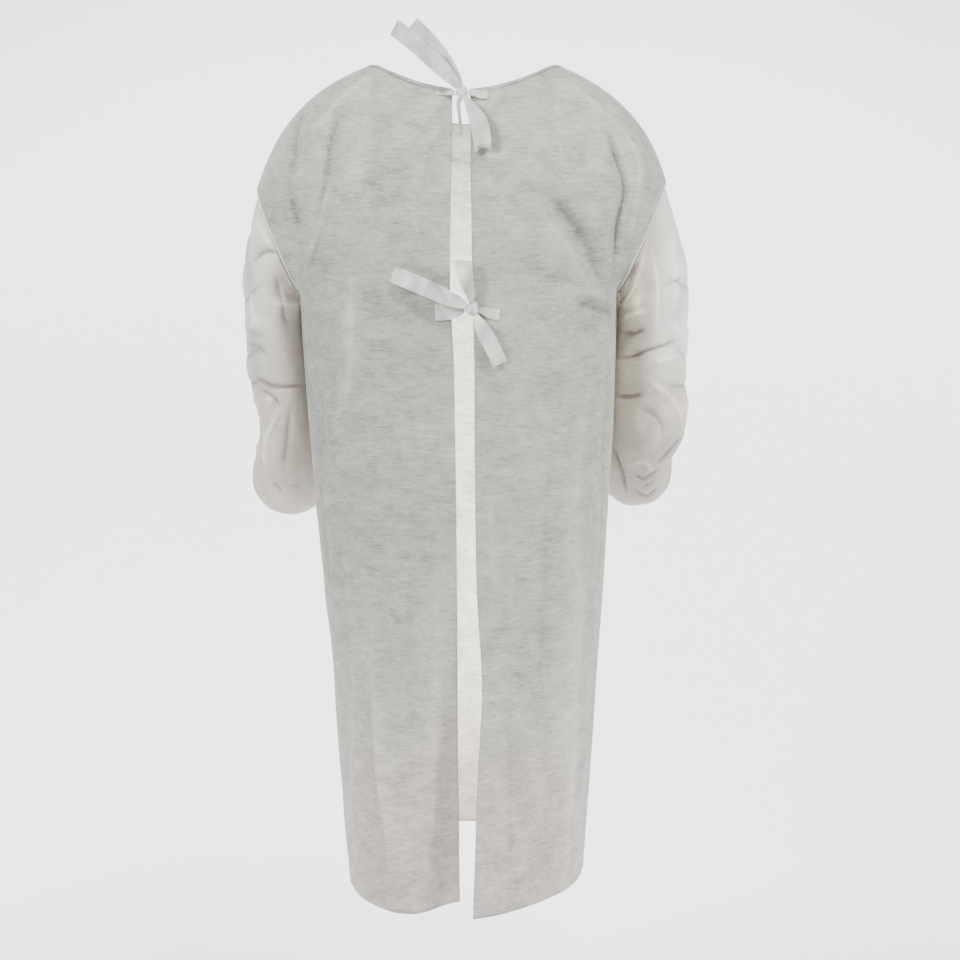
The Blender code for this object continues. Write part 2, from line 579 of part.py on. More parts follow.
def neck_binding(backs, front, material):
    """A strip round the neckline, on the panels' own points moved out."""
    middle = front.shape[1] // 2
    front_normals = grid_normals(front)
    halves = {}
    for side, out in ((LEFT, np.s_[:, middle::-1]), (RIGHT, np.s_[:, middle:])):
        order = np.s_[:, :: SIGN[side]]
        back, back_normals = backs[side][order], grid_normals(backs[side])[order]
        halves[side] = binding_side(back, back_normals, front[out], front_normals[out])
    grid = np.concatenate([halves[LEFT], halves[RIGHT][:, ::-1][:, 1:]], axis=1)
    return sheet("neck_binding", grid, material, BINDING_WALL)


class BackFace:
    """The unfolded back's outer face, for placing what lies behind it."""

    def __init__(self):
        shares = np.linspace(0.0, 1.0, FACE_COLUMNS)
        self.columns = {
            side: body_grid("back", side, shares).transpose(1, 0, 2) for side in (LEFT, RIGHT)
        }

    def y(self, x, z):
        """How far back the face lies. Above the neckline it is as far back as the neckline."""
        columns = self.columns[LEFT if x > 0 else RIGHT]
        across = [np.interp(-z, -column[:, 2], np.abs(column[:, 0])) for column in columns]
        depth = [np.interp(-z, -column[:, 2], column[:, 1]) for column in columns]
        return np.interp(abs(x), across, depth) + WALL

    def point(self, x, z, out):
        return np.array([x, self.y(x, z) + out, z])

    def normal(self, x, z):
        step = NORMAL_STEP
        slope_x = (self.y(x + step, z) - self.y(x - step, z)) / (2 * step)
        slope_z = (self.y(x, z + step) - self.y(x, z - step)) / (2 * step)
        return unit(np.array([-slope_x, 1.0, -slope_z]))


def knot_made(name, face, material):
    """A pulled-tight knot, a lump with a few lobes."""
    size = KNOTS[name]
    middle = face.point(size.x, size.z, size.out)
    mesh = bmesh.new()
    bmesh.ops.create_uvsphere(mesh, u_segments=KNOT_SEGMENTS, v_segments=KNOT_RINGS, radius=1.0)
    for vertex in mesh.verts:
        turn = math.atan2(vertex.co.z, vertex.co.x)
        lobe = 1 + KNOT_LOBE_DEPTH * math.cos(KNOT_LOBES * turn)
        half = (size.half_width, size.half_depth, size.half_height)
        vertex.co = [middle[k] + vertex.co[k] * half[k] * lobe for k in range(3)]
    return finished(name, mesh, material)


def at_knot(knot, step, face):
    """Where a tie that comes from a step meets the knot, just clear of it."""
    points = np.array([vertex.co for vertex in knot.data.vertices])
    middle = points.mean(axis=0)
    towards = unit(face.point(step.x, step.z, step.out) - middle)
    spot = middle + towards * (((points - middle) @ towards).max() + KNOT_GAP)
    return Step(spot[0], spot[2], spot[1] - face.y(spot[0], spot[2]), KNOT_END_WIDTH, step.turn)


def across_strip(line, outward):
    """The direction across a strip at each place along it, carried on where it folds back."""
    across = [unit(np.cross(line[0], outward[0]))]
    for along, out in zip(line[1:], outward[1:]):
        level = np.cross(along, out)
        if np.linalg.norm(level) < FOLD_BACK:
            level = across[-1] - (across[-1] @ along) * along
        across.append(unit(level * math.copysign(1.0, level @ across[-1])))
    return np.array(across)


def tie_made(name, tie, knot, face, material):
    """A tie stretch, a strip swept along its steps."""
    steps = list(tie.steps)
    if tie.starts_at_knot:
        steps.insert(0, at_knot(knot, tie.steps[0], face))
    if tie.ends_at_knot:
        steps.append(at_knot(knot, tie.steps[-1], face))
    last = len(steps) - 1
    places = np.linspace(0, last, TIE_ROWS_A_STEP * last + 1)
    path = curve_through(np.arange(last + 1), steps, places)
    points = np.array([face.point(x, z, out) for x, z, out, _, _ in path])
    line = unit(np.gradient(points, axis=0))
    across = across_strip(line, np.array([face.normal(x, z) for x, z, _, _, _ in path]))
    turn = np.radians(path[:, 4:5])
    across = np.cos(turn) * across + np.sin(turn) * np.cross(across, line)
    shares = np.linspace(-0.5, 0.5, TIE_COLUMNS + 1)
    grid = points[:, None] + shares[None, :, None] * (path[:, 3:4] * across)[:, None]
    return sheet(name, grid, material, TIE_WALL, offset=0.0)


def cloth_material(name):
    made = bpy.data.materials.new(name)
    made.use_nodes = True
    shader = made.node_tree.nodes["Principled BSDF"]
    shader.inputs["Base Color"].default_value = (*COLOURS[name], 1.0)
    shader.inputs["Roughness"].default_value = ROUGHNESS
    shader.inputs["Metallic"].default_value = 0.0
    return made


def clear_scene():
    for old in list(bpy.data.objects):
        bpy.data.objects.remove(old, do_unlink=True)


def build():
    clear_scene()
    bpy.context.scene.collection.children.link(bpy.data.collections.new(GOWN))
    cloth, sleeve_cloth, tie_cloth = (cloth_material(name) for name in COLOURS)
    front = front_grid()
    backs = {side: back_grid(side) for side in (LEFT, RIGHT)}
    body_panel("front", front, cloth)
    for side, grid in backs.items():
        body_panel(f"back_{side}", grid, cloth)
        tube(f"sleeve_{side}", sleeve_grid(side), side, sleeve_cloth)
        tube(f"cuff_{side}", cuff_grid(side), side, sleeve_cloth)
    neck_binding(backs, front, cloth)
    face = BackFace()
    knots = {name: knot_made(name, face, tie_cloth) for name in KNOTS}
    for name, tie in TIES.items():
        tie_made(name, tie, knots[tie.knot], face, tie_cloth)


build()
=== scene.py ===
import json
import math
from collections import namedtuple

import bmesh
import bpy
import numpy as np
from bpy.props import FloatProperty, FloatVectorProperty, IntProperty, PointerProperty
from mathutils import Euler, Matrix, Vector, kdtree, noise
from mathutils.bvhtree import BVHTree

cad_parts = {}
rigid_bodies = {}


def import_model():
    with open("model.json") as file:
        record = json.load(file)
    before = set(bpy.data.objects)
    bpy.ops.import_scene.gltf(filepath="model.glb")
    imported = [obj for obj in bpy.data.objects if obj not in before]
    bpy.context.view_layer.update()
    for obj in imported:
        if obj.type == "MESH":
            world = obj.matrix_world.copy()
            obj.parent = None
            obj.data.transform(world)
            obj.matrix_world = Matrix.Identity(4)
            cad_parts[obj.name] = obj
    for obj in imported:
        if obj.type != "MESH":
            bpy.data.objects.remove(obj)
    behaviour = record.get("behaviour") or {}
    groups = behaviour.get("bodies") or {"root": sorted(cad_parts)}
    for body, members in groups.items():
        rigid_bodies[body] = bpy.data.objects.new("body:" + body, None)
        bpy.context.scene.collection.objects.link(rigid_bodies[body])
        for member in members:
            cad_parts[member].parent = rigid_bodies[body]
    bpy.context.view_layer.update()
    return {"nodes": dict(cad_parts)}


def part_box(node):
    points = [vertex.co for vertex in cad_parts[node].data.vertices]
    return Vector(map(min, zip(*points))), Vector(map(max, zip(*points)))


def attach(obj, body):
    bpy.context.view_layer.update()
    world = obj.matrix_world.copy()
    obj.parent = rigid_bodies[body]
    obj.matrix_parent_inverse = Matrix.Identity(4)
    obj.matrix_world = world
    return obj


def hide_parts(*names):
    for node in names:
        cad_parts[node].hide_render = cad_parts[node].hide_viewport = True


bl_info = {
    "name": "Isolation Gown",
    "version": (1, 0, 0),
    "blender": (4, 5, 0),
    "location": "View3D > Sidebar > Gown",
    "description": "Nonwoven cloth, folds, seams, ties and a studio for an isolation gown",
    "category": "Object",
}

# The frame: the front faces -Y, and +X is the wearer's left. Every length is in metres.
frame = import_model()

SIDES = ("left", "right")
PANELS = ("front", "back_left", "back_right")
SLEEVES = ("sleeve_left", "sleeve_right")
CUFFS = ("cuff_left", "cuff_right")
KNOTS = ("neck_knot", "back_knot")

# How a CAD solid is read
MERGE = 2e-5  # loose triangles join at this distance
RIM = 0.00155  # the rim of a wall has edges shorter than this
CORNER = math.radians(50)  # a sharper edge than this stays a corner
HEM_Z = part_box("front")[0].z
HEM_BAND = 0.006  # an open edge this near the gown's lowest point is the hem
BACK_EDGE_X, BACK_EDGE_Z = 0.034, -0.052  # the centre-back edges lie within this x, below this z
SLEEVE_END = (0.05, 0.09)  # a sleeve's ring this far from its cuff gives the run of the arm
LEVELS = 3  # how often a tie, a knot, a cuff or the binding is subdivided

# How a crease is shaped
FOLD_ROUND = 0.12  # how round its edge is, as a share of its half width
FOLD_FALL = 1.5  # how fast it dies away to its sides
END_FADE = 0.28  # the share of its length over which each end dies away
END_RISE = 0.2  # what is left of it at its very end
SIDE_DEPTH = 0.55  # the creases seen from the sides are shallower
UNEVEN, UNEVEN_SIZE = 0.35, 0.05  # how much a crease's depth wavers, and over what length
FACING = (0.05, 0.45)  # how squarely the cloth faces its side, from no crease to a full one
INNER_FACING = (0.35, 0.8)  # how squarely a sleeve faces the body, from full crumples to none
SLEEVE_HOLD = 0.55  # a sleeve's folds start nearer to its seam, at this share of the seam hold
EDGE_LINE = 0.0024  # half width of the painted line along a crease's edge: painted highlight on a ridge, painted shade in a valley
SLEEVE_LINE, BODY_LINE = 0.7, 0.22  # how strong that painted line shows
FULL_LINE = 0.004  # the rise of a crease whose painted line shows in full
RISE_SHADE = 0.6  # how strongly the rise of a fold is painted: lighter on ridges, darker in valleys

# Crumples: the size of their facets and their height
CRUMPLE_LEVEL = 0.35  # where the noise folds over
BODY_CRUMPLES = ((0.16, 0.0022), (0.07, 0.0008))
SLEEVE_CRUMPLES = ((0.12, 0.0042), (0.055, 0.0022))
TIE_CRUMPLES = ((0.034, 0.0034), (0.016, 0.0008))
KNOT_CRUMPLES = ((0.014, 0.0022), (0.007, 0.0008))
CUFF_CRUMPLES = ((0.010, 0.0002),)
BINDING_CRUMPLES = ((0.012, 0.0002),)

# Painted light: where the cloth changes from its own colour to a paler one that stands in for light
# falling on it
HEM_FADE, SHOULDER_FADE = (-0.55, -1.10), (-0.30, -0.06)
OUTER_FADE, UPPER_FADE, WRIST_FADE = (0.245, 0.290), (-0.47, -0.36), (-0.55, -0.60)

# How the seams and stitches are laid
SHORTEST_RUN = 12  # a seam has more points than this
STITCH_JUMP = 0.010  # a row of stitches stops where its line jumps further than this
STITCH_SIDES, STITCH_ROWS = 6, 4  # the faces round a stitch, and from end to end
THREAD_LIFT = 0.0001  # how far a thread's middle lies above the cloth
BINDING_REACH = 0.013  # the binding's points this near a cloth's edge give the middle of the strip
WRIST_ROWS = (("upper", 0.0025), ("lower", -0.0025))  # how far up the arm from the cuff's middle
TIE_ROWS = (("outer", 0.004), ("inner", 0.010))  # how far in from a tie's sewn end

# The nonwoven: how many bumps of each kind lie in a metre along x, y and z
FIBRES, THREADS, FLECKS = (62.0, 62.0, 430.0), (150.0, 150.0, 1300.0), (120.0, 120.0, 300.0)
CLOUDS, FUZZ, RUMPLES = 33.0, 1500.0, 38.0
# shade: how strongly the folds are painted, darker in valleys and lighter on ridges
Finish = namedtuple("Finish", "streaks mottling crumple shade")
FINISHES = {
    "cloth": Finish(0.86, 0.86, 0.06, 0.29),
    "sleeve": Finish(0.34, 0.36, 0.14, 0.46),
    "tie": Finish(0.30, 0.28, 0.10, 0.40),
    "seam": Finish(0.30, 0.30, 0.05, 0.0),
}
MIX_FACTOR, MIX_A, MIX_B, MIX_RESULT = 0, 6, 7, 2  # a colour Mix node's sockets

# The studio
STUDIO_PROFILE = ((0.0, 0.0), (0.8, 0.0), (1.0, 1.2), (1.0, 4.5))  # share of its radius, height
GLOW_Y, GLOW_REACH = -3.8, (4.7, 2.7)  # the middle of the floor's glow, and where it ends and is full
LAMPS_AIM = Vector((0.0, 0.0, -0.55))
INSIDE_PLACE, INSIDE_SIZE = (0.0, 0.02, -0.62), (0.10, 0.90)
CAMERA_PLACE, CAMERA_TILT = (-0.0215, 2.414, -0.248), math.radians(82)

# The cut of each sheet that shows: width, length and area, all round on a tube
Cut = namedtuple("Cut", "width length area held rests_on")
CUTS = {
    "front": Cut(0.87, 1.22, 0.692, "draped", ()),
    "back_left": Cut(0.40, 1.22, 0.344, "draped", ()),
    "back_right": Cut(0.39, 1.22, 0.326, "draped", ()),
    "sleeve_left": Cut(0.47, 0.56, 0.161, "gathered", ("back_left_cloth", "front_cloth")),
    "sleeve_right": Cut(0.49, 0.55, 0.166, "gathered", ("back_right_cloth", "front_cloth")),
    "cuff_left": Cut(0.22, 0.015, None, "gathered", ("sleeve_left_cloth",)),
    "cuff_right": Cut(0.215, 0.015, None, "gathered", ("sleeve_right_cloth",)),
    "neck_binding": Cut(0.51, 0.010, None, "stretched", PANELS),
    "neck_tie_end_left": Cut(0.030, 0.010, 0.0002, "folded", ("neck_binding",)),
    "neck_tie_end_right": Cut(0.029, 0.013, 0.0003, "folded", ("neck_binding",)),
    "neck_tail_long": Cut(0.023, 0.118, 0.0026, "folded", ("neck_knot",)),
    "neck_tail_short": Cut(0.023, 0.100, 0.0021, "folded", ("neck_knot",)),
    "neck_loop_wide": Cut(0.023, 0.142, 0.0032, "folded", ("neck_knot",)),
    "neck_loop_narrow": Cut(0.023, 0.052, 0.0007, "folded", ("neck_knot",)),
    "back_tie_end_left": Cut(0.023, 0.040, 0.0008, "folded", ("back_left",)),
    "back_tie_end_right": Cut(0.020, 0.027, 0.0004, "folded", ("back_right",)),
    "back_tail_upper": Cut(0.023, 0.107, 0.0023, "folded", ("back_knot",)),
    "back_loop_upper": Cut(0.023, 0.105, 0.0020, "folded", ("back_knot",)),
    "back_tail_lower": Cut(0.023, 0.072, 0.0014, "folded", ("back_knot",)),
}
TIES = tuple(node for node, cut in CUTS.items() if cut.held == "folded")

Crease = namedtuple("Crease", "half_width rise lean points")


def fold(half_width, rise, lean, *points):
    """A crease from its sizes and points in millimetres."""
    return Crease(half_width / 1000, rise / 1000, lean, np.array(points, float) / 1000)


# The creases, by the side that they are seen from. A row has the half width, the rise,
# above 0 for a ridge, the lean and the points: (x, z) from the back or front, (y, z) from the left or
# right. With the first to the right and z up, a lean above 0 makes the right of the line softer.
SEEN_FROM = {"back": (0, 1, 0), "front": (0, -1, 0), "left": (1, 0, 0), "right": (-1, 0, 0)}
CREASES = {
    "back_left": {
        "back": [
            fold(9, -4.5, 0.5, (143, -36), (177, -88), (187, -141), (193, -188), (205, -258)),
            fold(5, 5.0, -0.6, (181, -160), (193, -211), (208, -263), (218, -284)),
            fold(6, 4.4, 0.6, (118, -10), (171, -57), (203, -90), (224, -86)),
            fold(5, -4.2, 0.6, (223, -57), (234, -86), (238, -132), (241, -170)),
            fold(6, -3.4, 0.5, (241, -180), (236, -204), (229, -232)),
            fold(7, -2.2, 0.3, (180, -210), (167, -194), (146, -190)),
            fold(11, 4.8, -0.5, (152, -300), (155, -418), (166, -469), (183, -514)),
            fold(5, -2.4, 0.2, (214, -521), (190, -519), (176, -526)),
            fold(10, 3.4, 0.5, (130, -800), (119, -973), (106, -1071), (104, -1170)),
            fold(6, -2.0, 0.0, (103, -745), (86, -768)),
            fold(16, -2.0, 0.3, (60, -120), (110, -150), (150, -200)),
            fold(15, -1.8, -0.3, (60, -360), (110, -345), (150, -300)),
            fold(18, -2.0, 0.2, (70, -560), (78, -780), (70, -1000)),
            fold(14, 1.6, -0.2, (36, -620), (40, -900), (46, -1170)),
        ],
        "left": [
            fold(15, -3.0, 0.3, (70, -360), (80, -560), (60, -800)),
            fold(14, 3.0, -0.3, (110, -620), (120, -900), (110, -1170)),
            fold(13, -3.0, 0.2, (40, -700), (45, -950), (50, -1170)),
        ],
    },
    "back_right": {
        "back": [
            fold(6, -5.2, -0.6, (-190, -78), (-210, -128), (-222, -173), (-213, -223), (-206, -290)),
            fold(5, 4.4, 0.6, (-194, -74), (-229, -119), (-237, -162), (-226, -214), (-222, -256)),
            fold(10, 3.0, -0.3, (-130, -20), (-166, -48), (-200, -86)),
            fold(14, -5.5, -0.3, (-104, -170), (-150, -223), (-183, -283), (-198, -316)),
            fold(11, 3.2, 0.3, (-90, -196), (-138, -252), (-170, -308)),
            fold(9, -4.2, -0.3, (-152, -327), (-186, -335), (-212, -346)),
            fold(6, 3.0, 0.2, (-160, -314), (-198, -322)),
            fold(8, -1.6, 0.0, (-127, -381), (-138, -406)),
            fold(16, 3.4, -0.3, (-160, -420), (-152, -640), (-150, -900), (-140, -1170)),
            fold(16, -1.8, 0.3, (-120, -470), (-112, -700), (-108, -930)),
            fold(14, -1.8, 0.2, (-60, -250), (-100, -290), (-150, -300)),
            fold(14, -2.2, 0.3, (-60, -860), (-66, -1000), (-62, -1170)),
            fold(12, 1.8, 0.0, (-34, -560), (-40, -760)),
        ],
        "right": [
            fold(14, -3.0, 0.3, (70, -360), (78, -540), (60, -760)),
            fold(14, 3.0, -0.3, (105, -560), (115, -880), (110, -1170)),
            fold(12, -3.0, 0.2, (45, -760), (40, -960), (50, -1170)),
        ],
    },
    "front": {
        "front": [
            fold(10, -4.5, 0.4, (110, -60), (150, -120), (185, -200), (205, -280)),
            fold(10, 3.6, -0.3, (135, -30), (175, -75), (205, -120)),
            fold(10, -4.5, -0.4, (-105, -55), (-148, -110), (-180, -190), (-196, -270)),
            fold(9, 3.4, 0.3, (-130, -26), (-170, -70), (-206, -118)),
            fold(13, -2.6, 0.3, (-60, -100), (-10, -132), (52, -104)),
            fold(16, -2.2, 0.3, (-85, -135), (-20, -180), (60, -146)),
            fold(11, -4.0, 0.3, (205, -300), (160, -330), (120, -390)),
            fold(11, -3.8, -0.3, (-200, -290), (-158, -326), (-126, -380)),
            fold(9, 3.0, 0.2, (188, -330), (150, -380), (128, -460)),
            fold(9, 3.0, -0.2, (-180, -325), (-150, -380), (-140, -450)),
            fold(13, -3.4, 0.3, (150, -460), (160, -700), (150, -960)),
            fold(14, 3.4, -0.3, (80, -520), (88, -800), (84, -1170)),
            fold(13, -3.0, 0.2, (20, -600), (26, -860), (18, -1170)),
            fold(13, 3.4, 0.3, (-52, -480), (-48, -760), (-56, -1170)),
            fold(12, -3.4, -0.2, (-115, -520), (-120, -800), (-112, -1170)),
            fold(12, 2.6, 0.2, (-160, -560), (-158, -760)),
            fold(10, -3.0, 0.3, (120, -860), (126, -1000), (118, -1170)),
        ],
        "left": [
            fold(14, -3.4, 0.3, (-60, -360), (-50, -560), (-60, -800)),
            fold(14, 3.4, -0.3, (-110, -450), (-100, -760), (-110, -1170)),
        ],
        "right": [
            fold(14, -3.4, 0.3, (-60, -370), (-52, -580), (-64, -820)),
            fold(13, 3.4, -0.3, (-108, -480), (-100, -790), (-112, -1170)),
        ],
    },
    "sleeve_left": {
        "right": [
            fold(20, 9.0, 0.0, (70, -326), (20, -332), (-40, -330)),
        ],
        "back": [
            fold(4, 2.6, 0.0, (290, -216), (268, -250), (252, -278)),
            fold(7, -5.0, 0.3, (300, -276), (278, -259), (255, -262), (240, -276)),
            fold(12, -4.0, -0.3, (262, -290), (258, -330), (250, -370)),
            fold(10, 3.0, 0.2, (306, -310), (300, -345), (288, -368)),
            fold(4, -3.0, 0.0, (316, -372), (286, -379)),
            fold(5, -4.2, 0.3, (318, -391), (300, -395), (284, -404)),
            fold(3.5, -6.0, 0.4, (304, -440), (282, -450), (262, -451.5), (230, -451.5)),
            fold(4, -3.5, 0.3, (300, -455), (274, -468), (266, -482)),
            fold(6, 3.0, 0.0, (286, -464), (276, -476)),
            fold(6, 4.0, -0.4, (262, -480), (277, -506), (293, -537), (300, -582)),
            fold(10, -3.0, 0.2, (250, -470), (258, -520), (268, -580)),
            fold(3, -2.0, 0.0, (262, -606), (244, -608)),
            fold(5, -2.6, 0.0, (290, -598), (270, -618)),
        ],
        "left": [
            fold(8, -4.0, 0.3, (50, -300), (0, -330), (-50, -322)),
            fold(6, 3.0, 0.0, (40, -350), (-10, -366), (-70, -350)),
            fold(6, -4.2, 0.3, (20, -395), (-30, -410), (-100, -400)),
            fold(5, -4.8, -0.3, (10, -440), (-40, -450), (-110, -430)),
            fold(6, 3.4, 0.2, (-10, -470), (-50, -480), (-115, -452)),
            fold(6, -3.8, 0.3, (-30, -520), (-70, -505), (-120, -470)),
            fold(7, 3.0, 0.0, (-50, -560), (-100, -550), (-140, -520)),
            fold(6, -3.0, 0.3, (-100, -620), (-140, -590), (-165, -560)),
        ],
        "front": [
            fold(7, -3.6, 0.3, (306, -318), (276, -309), (246, -322)),
            fold(6, -4.4, 0.3, (306, -398), (272, -391), (238, -412)),
            fold(5, 3.2, 0.0, (304, -428), (270, -429), (236, -448)),
            fold(6, -3.6, 0.0, (302, -468), (268, -462), (250, -478)),
        ],
    },
    "sleeve_right": {
        "left": [
            fold(24, 12.5, 0.0, (70, -323), (20, -330), (-40, -330)),
        ],
        "back": [
            fold(4, 5.0, 0.4, (-250, -256), (-240, -298), (-230, -334)),
            fold(6, -4.0, 0.0, (-237, -270), (-229, -300)),
            fold(5, 4.2, 0.2, (-228, -352), (-240, -343), (-256, -345)),
            fold(9, -4.8, 0.0, (-222, -372), (-240, -374), (-256, -366)),
            fold(4, -4.6, -0.4, (-218, -410), (-236, -408), (-262, -398), (-305, -384)),
            fold(4, 2.8, 0.0, (-266, -418), (-305, -404)),
            fold(4, -3.0, 0.3, (-276, -306), (-310, -296)),
            fold(5, 4.0, -0.4, (-262, -262), (-269, -326), (-270, -372)),
            fold(9, 2.6, 0.0, (-290, -230), (-292, -280), (-296, -350)),
            fold(3.5, -5.2, -0.3, (-218, -466), (-240, -466), (-256, -462)),
            fold(5, 4.2, -0.3, (-262, -440), (-299, -472), (-318, -508)),
            fold(12, -3.0, 0.0, (-250, -480), (-280, -500), (-290, -530)),
            fold(4, -4.2, 0.3, (-322, -528), (-300, -555), (-280, -574)),
            fold(4, 3.4, 0.0, (-244, -570), (-262, -566), (-278, -582)),
            fold(4, -3.4, 0.2, (-250, -586), (-264, -597), (-288, -580)),
            fold(4, -2.6, 0.0, (-262, -612), (-286, -600)),
            fold(3.5, -4.0, 0.4, (-214, -540), (-229, -580), (-241, -622)),
            fold(5, -3.6, 0.2, (-292, -612), (-272, -626), (-250, -614)),
        ],
        "right": [
            fold(7, -3.8, 0.3, (50, -290), (0, -310), (-60, -300)),
            fold(7, 3.4, 0.0, (30, -350), (-20, -380), (-80, -360)),
            fold(6, -4.4, 0.3, (10, -390), (-40, -415), (-100, -396)),
            fold(6, -4.6, -0.3, (10, -450), (-50, -452), (-112, -424)),
            fold(6, 3.6, 0.2, (-10, -490), (-60, -480), (-118, -446)),
            fold(6, -3.8, 0.3, (-40, -530), (-80, -510), (-125, -476)),
            fold(6, -3.2, 0.0, (-80, -590), (-120, -560), (-150, -530)),
        ],
        "front": [
            fold(8, -3.4, 0.3, (-304, -296), (-278, -316), (-262, -356)),
            fold(6, -4.4, 0.3, (-306, -394), (-270, -405), (-234, -398)),
            fold(5, 3.2, 0.0, (-304, -424), (-270, -421), (-246, -440)),
            fold(7, -3.6, 0.0, (-300, -474), (-266, -490), (-236, -480)),
        ],
    },
}


def smooth_step(low, high, value):
    share = np.clip((value - low) / (high - low), 0.0, 1.0)
    return share * share * (3 - 2 * share)


def smooth_line(points, per_span=8):
    """A Catmull-Rom curve through the points."""
    ends = np.concatenate([[2 * points[0] - points[1]], points, [2 * points[-1] - points[-2]]])
    t = np.linspace(0.0, 1.0, per_span, endpoint=False)[:, None]
    spans = [
        0.5 * (2 * b + (c - a) * t + (2 * a - 5 * b + 4 * c - d) * t**2 + (3 * b - a - 3 * c + d) * t**3)
        for a, b, c, d in zip(ends, ends[1:], ends[2:], ends[3:])
    ]
    return np.concatenate([*spans, points[-1:]])


def crease_lift(crease, places):
    """How far a crease lifts each place, as seen from its side, and where its sharp edge runs, as a
    painted line: highlight along a ridge, shade along a valley.
    """
    line = smooth_line(crease.points)
    starts, runs = line[:-1], np.diff(line, axis=0)
    lengths = np.linalg.norm(runs, axis=1)
    before = np.concatenate([[0.0], np.cumsum(lengths)[:-1]])
    nearest = np.full(len(places), np.inf)
    side, along = np.zeros(len(places)), np.zeros(len(places))
    for start, run, length, gone in zip(starts, runs, lengths, before):
        offset = places - start
        share = np.clip((offset @ run) / length**2, 0.0, 1.0)
        distance = np.linalg.norm(offset - share[:, None] * run, axis=1)
        nearer = distance < nearest
        nearest[nearer] = distance[nearer]
        side[nearer] = np.sign(run[0] * offset[nearer, 1] - run[1] * offset[nearer, 0])
        along[nearer] = (gone + share[nearer] * length) / lengths.sum()
    away = nearest / (crease.half_width * (1 - crease.lean * side))
    fade = smooth_step(0.0, END_FADE, along) * (1 - smooth_step(1 - END_FADE, 1.0, along))
    fade = END_RISE + (1 - END_RISE) * fade
    lift = crease.rise * fade * np.exp(-FOLD_FALL * (np.hypot(away, FOLD_ROUND) - FOLD_ROUND))
    return lift, np.sign(crease.rise) * fade * np.exp(-((nearest / EDGE_LINE) ** 2))


def merged_copy(node):
    """A copy of a CAD node's mesh with its loose triangles joined."""
    mesh = bmesh.new()
    mesh.from_mesh(frame["nodes"][node].data)
    bmesh.ops.remove_doubles(mesh, verts=mesh.verts, dist=MERGE)
    return mesh


def to_quads(mesh):
    bmesh.ops.join_triangles(
        mesh, faces=mesh.faces[:], angle_face_threshold=math.pi, angle_shape_threshold=math.pi,
        topology_influence=2.0,
    )


def outer_layer(node):
    """The outer face of a CAD cloth solid, as an open mesh of quads."""
    mesh = merged_copy(node)
    rim = [face for face in mesh.faces if min(edge.calc_length() for edge in face.edges) < RIM]
    bmesh.ops.delete(mesh, geom=rim, context="FACES")
    left, layers = set(mesh.faces), []
    while left:
        waiting = [left.pop()]
        layer = list(waiting)
        while waiting:
            near = {face for edge in waiting.pop().edges for face in edge.link_faces} & left
            left -= near
            waiting.extend(near)
            layer.extend(near)
        layers.append(layer)
    outer = set(max(layers, key=lambda layer: sum(face.calc_area() for face in layer)))
    bmesh.ops.delete(mesh, geom=[face for face in mesh.faces if face not in outer], context="FACES")
    to_quads(mesh)
    return mesh


def finished(work):
    """The mesh of a working object as its modifiers or bevel leave it. The object goes."""
    bpy.context.scene.collection.objects.link(work)
    made = bpy.data.meshes.new_from_object(work.evaluated_get(bpy.context.evaluated_depsgraph_get()))
    bpy.data.objects.remove(work)
    return made


def subdivided(mesh, levels):
    """The mesh after Catmull-Clark subdivision, with the corners of an open sheet kept."""
    data = bpy.data.meshes.new("work")
    mesh.to_mesh(data)
    mesh.free()
    work = bpy.data.objects.new("work", data)
    finer = work.modifiers.new("finer", "SUBSURF")
    finer.levels = finer.render_levels = levels
    finer.boundary_smooth = "PRESERVE_CORNERS"
    made = finished(work)
    bpy.data.meshes.remove(data)
    return made


def points_of(mesh):
    return np.array([vertex.co for vertex in mesh.vertices])


def normals_of(mesh):
    return np.array([vertex.normal for vertex in mesh.vertices])


def move_to(mesh, points):
    mesh.vertices.foreach_set("co", points.astype(np.float32).ravel())
    mesh.update()


def paint(mesh, name, values):
    """A value at each vertex for the materials."""
    layer = mesh.attributes.new(name, "FLOAT", "POINT")
    layer.data.foreach_set("value", np.asarray(values, np.float32))


def open_keys(mesh):
    """The edges of a sheet that have one face, as pairs of vertices."""
    use = {}
    for polygon in mesh.polygons:
        for key in polygon.edge_keys:
            use[key] = use.get(key, 0) + 1
    return [key for key, count in use.items() if count == 1]


def sewn_edge(mesh, node):
    """The vertices of a cloth's edge that is sewn to another piece."""
    sewn = []
    for index in {vertex for key in open_keys(mesh) for vertex in key}:
        x, _, z = mesh.vertices[index].co
        at_hem = node in PANELS and z < HEM_Z + HEM_BAND
        at_centre = node != "front" and abs(x) < BACK_EDGE_X and z < BACK_EDGE_Z
        if not at_hem and not at_centre:
            sewn.append(index)
    return sewn


def distance_to(points, indices):
    tree = kdtree.KDTree(len(indices))
    for index in indices:
        tree.insert(points[index], index)
    tree.balance()
    return np.array([tree.find(point)[2] for point in points])


def waves(points, size, seed):
    """A soft, even noise from -1 to 1 with bumps of a size, taller than wide."""
    scale = np.array([1.0, 1.0, 0.6]) / size
    return np.array([noise.noise(Vector(point * scale) + Vector((seed, 0, seed))) for point in points])


def crumple(points, size, seed):
    """Flat facets of a size that meet in crisp ridges and valleys, from about -1 to 1."""
    ridges = CRUMPLE_LEVEL - np.abs(waves(points, size, seed))
    valleys = np.abs(waves(points, 0.8 * size, seed + 31)) - CRUMPLE_LEVEL
    return 1.6 * (ridges + valleys)


def wrist(side):
    """A wrist's centre, the direction up the arm and the two directions across it."""
    centre = points_of(frame["nodes"][f"cuff_{side}"].data).mean(axis=0)
    sleeve = points_of(frame["nodes"][f"sleeve_{side}"].data)
    far = np.linalg.norm(sleeve - centre, axis=1)
    arm = sleeve[(far > SLEEVE_END[0]) & (far < SLEEVE_END[1])].mean(axis=0) - centre
    arm /= np.linalg.norm(arm)
    across = np.cross(arm, (1.0, 0.0, 0.0))
    across /= np.linalg.norm(across)
    return centre, arm, across, np.cross(arm, across)


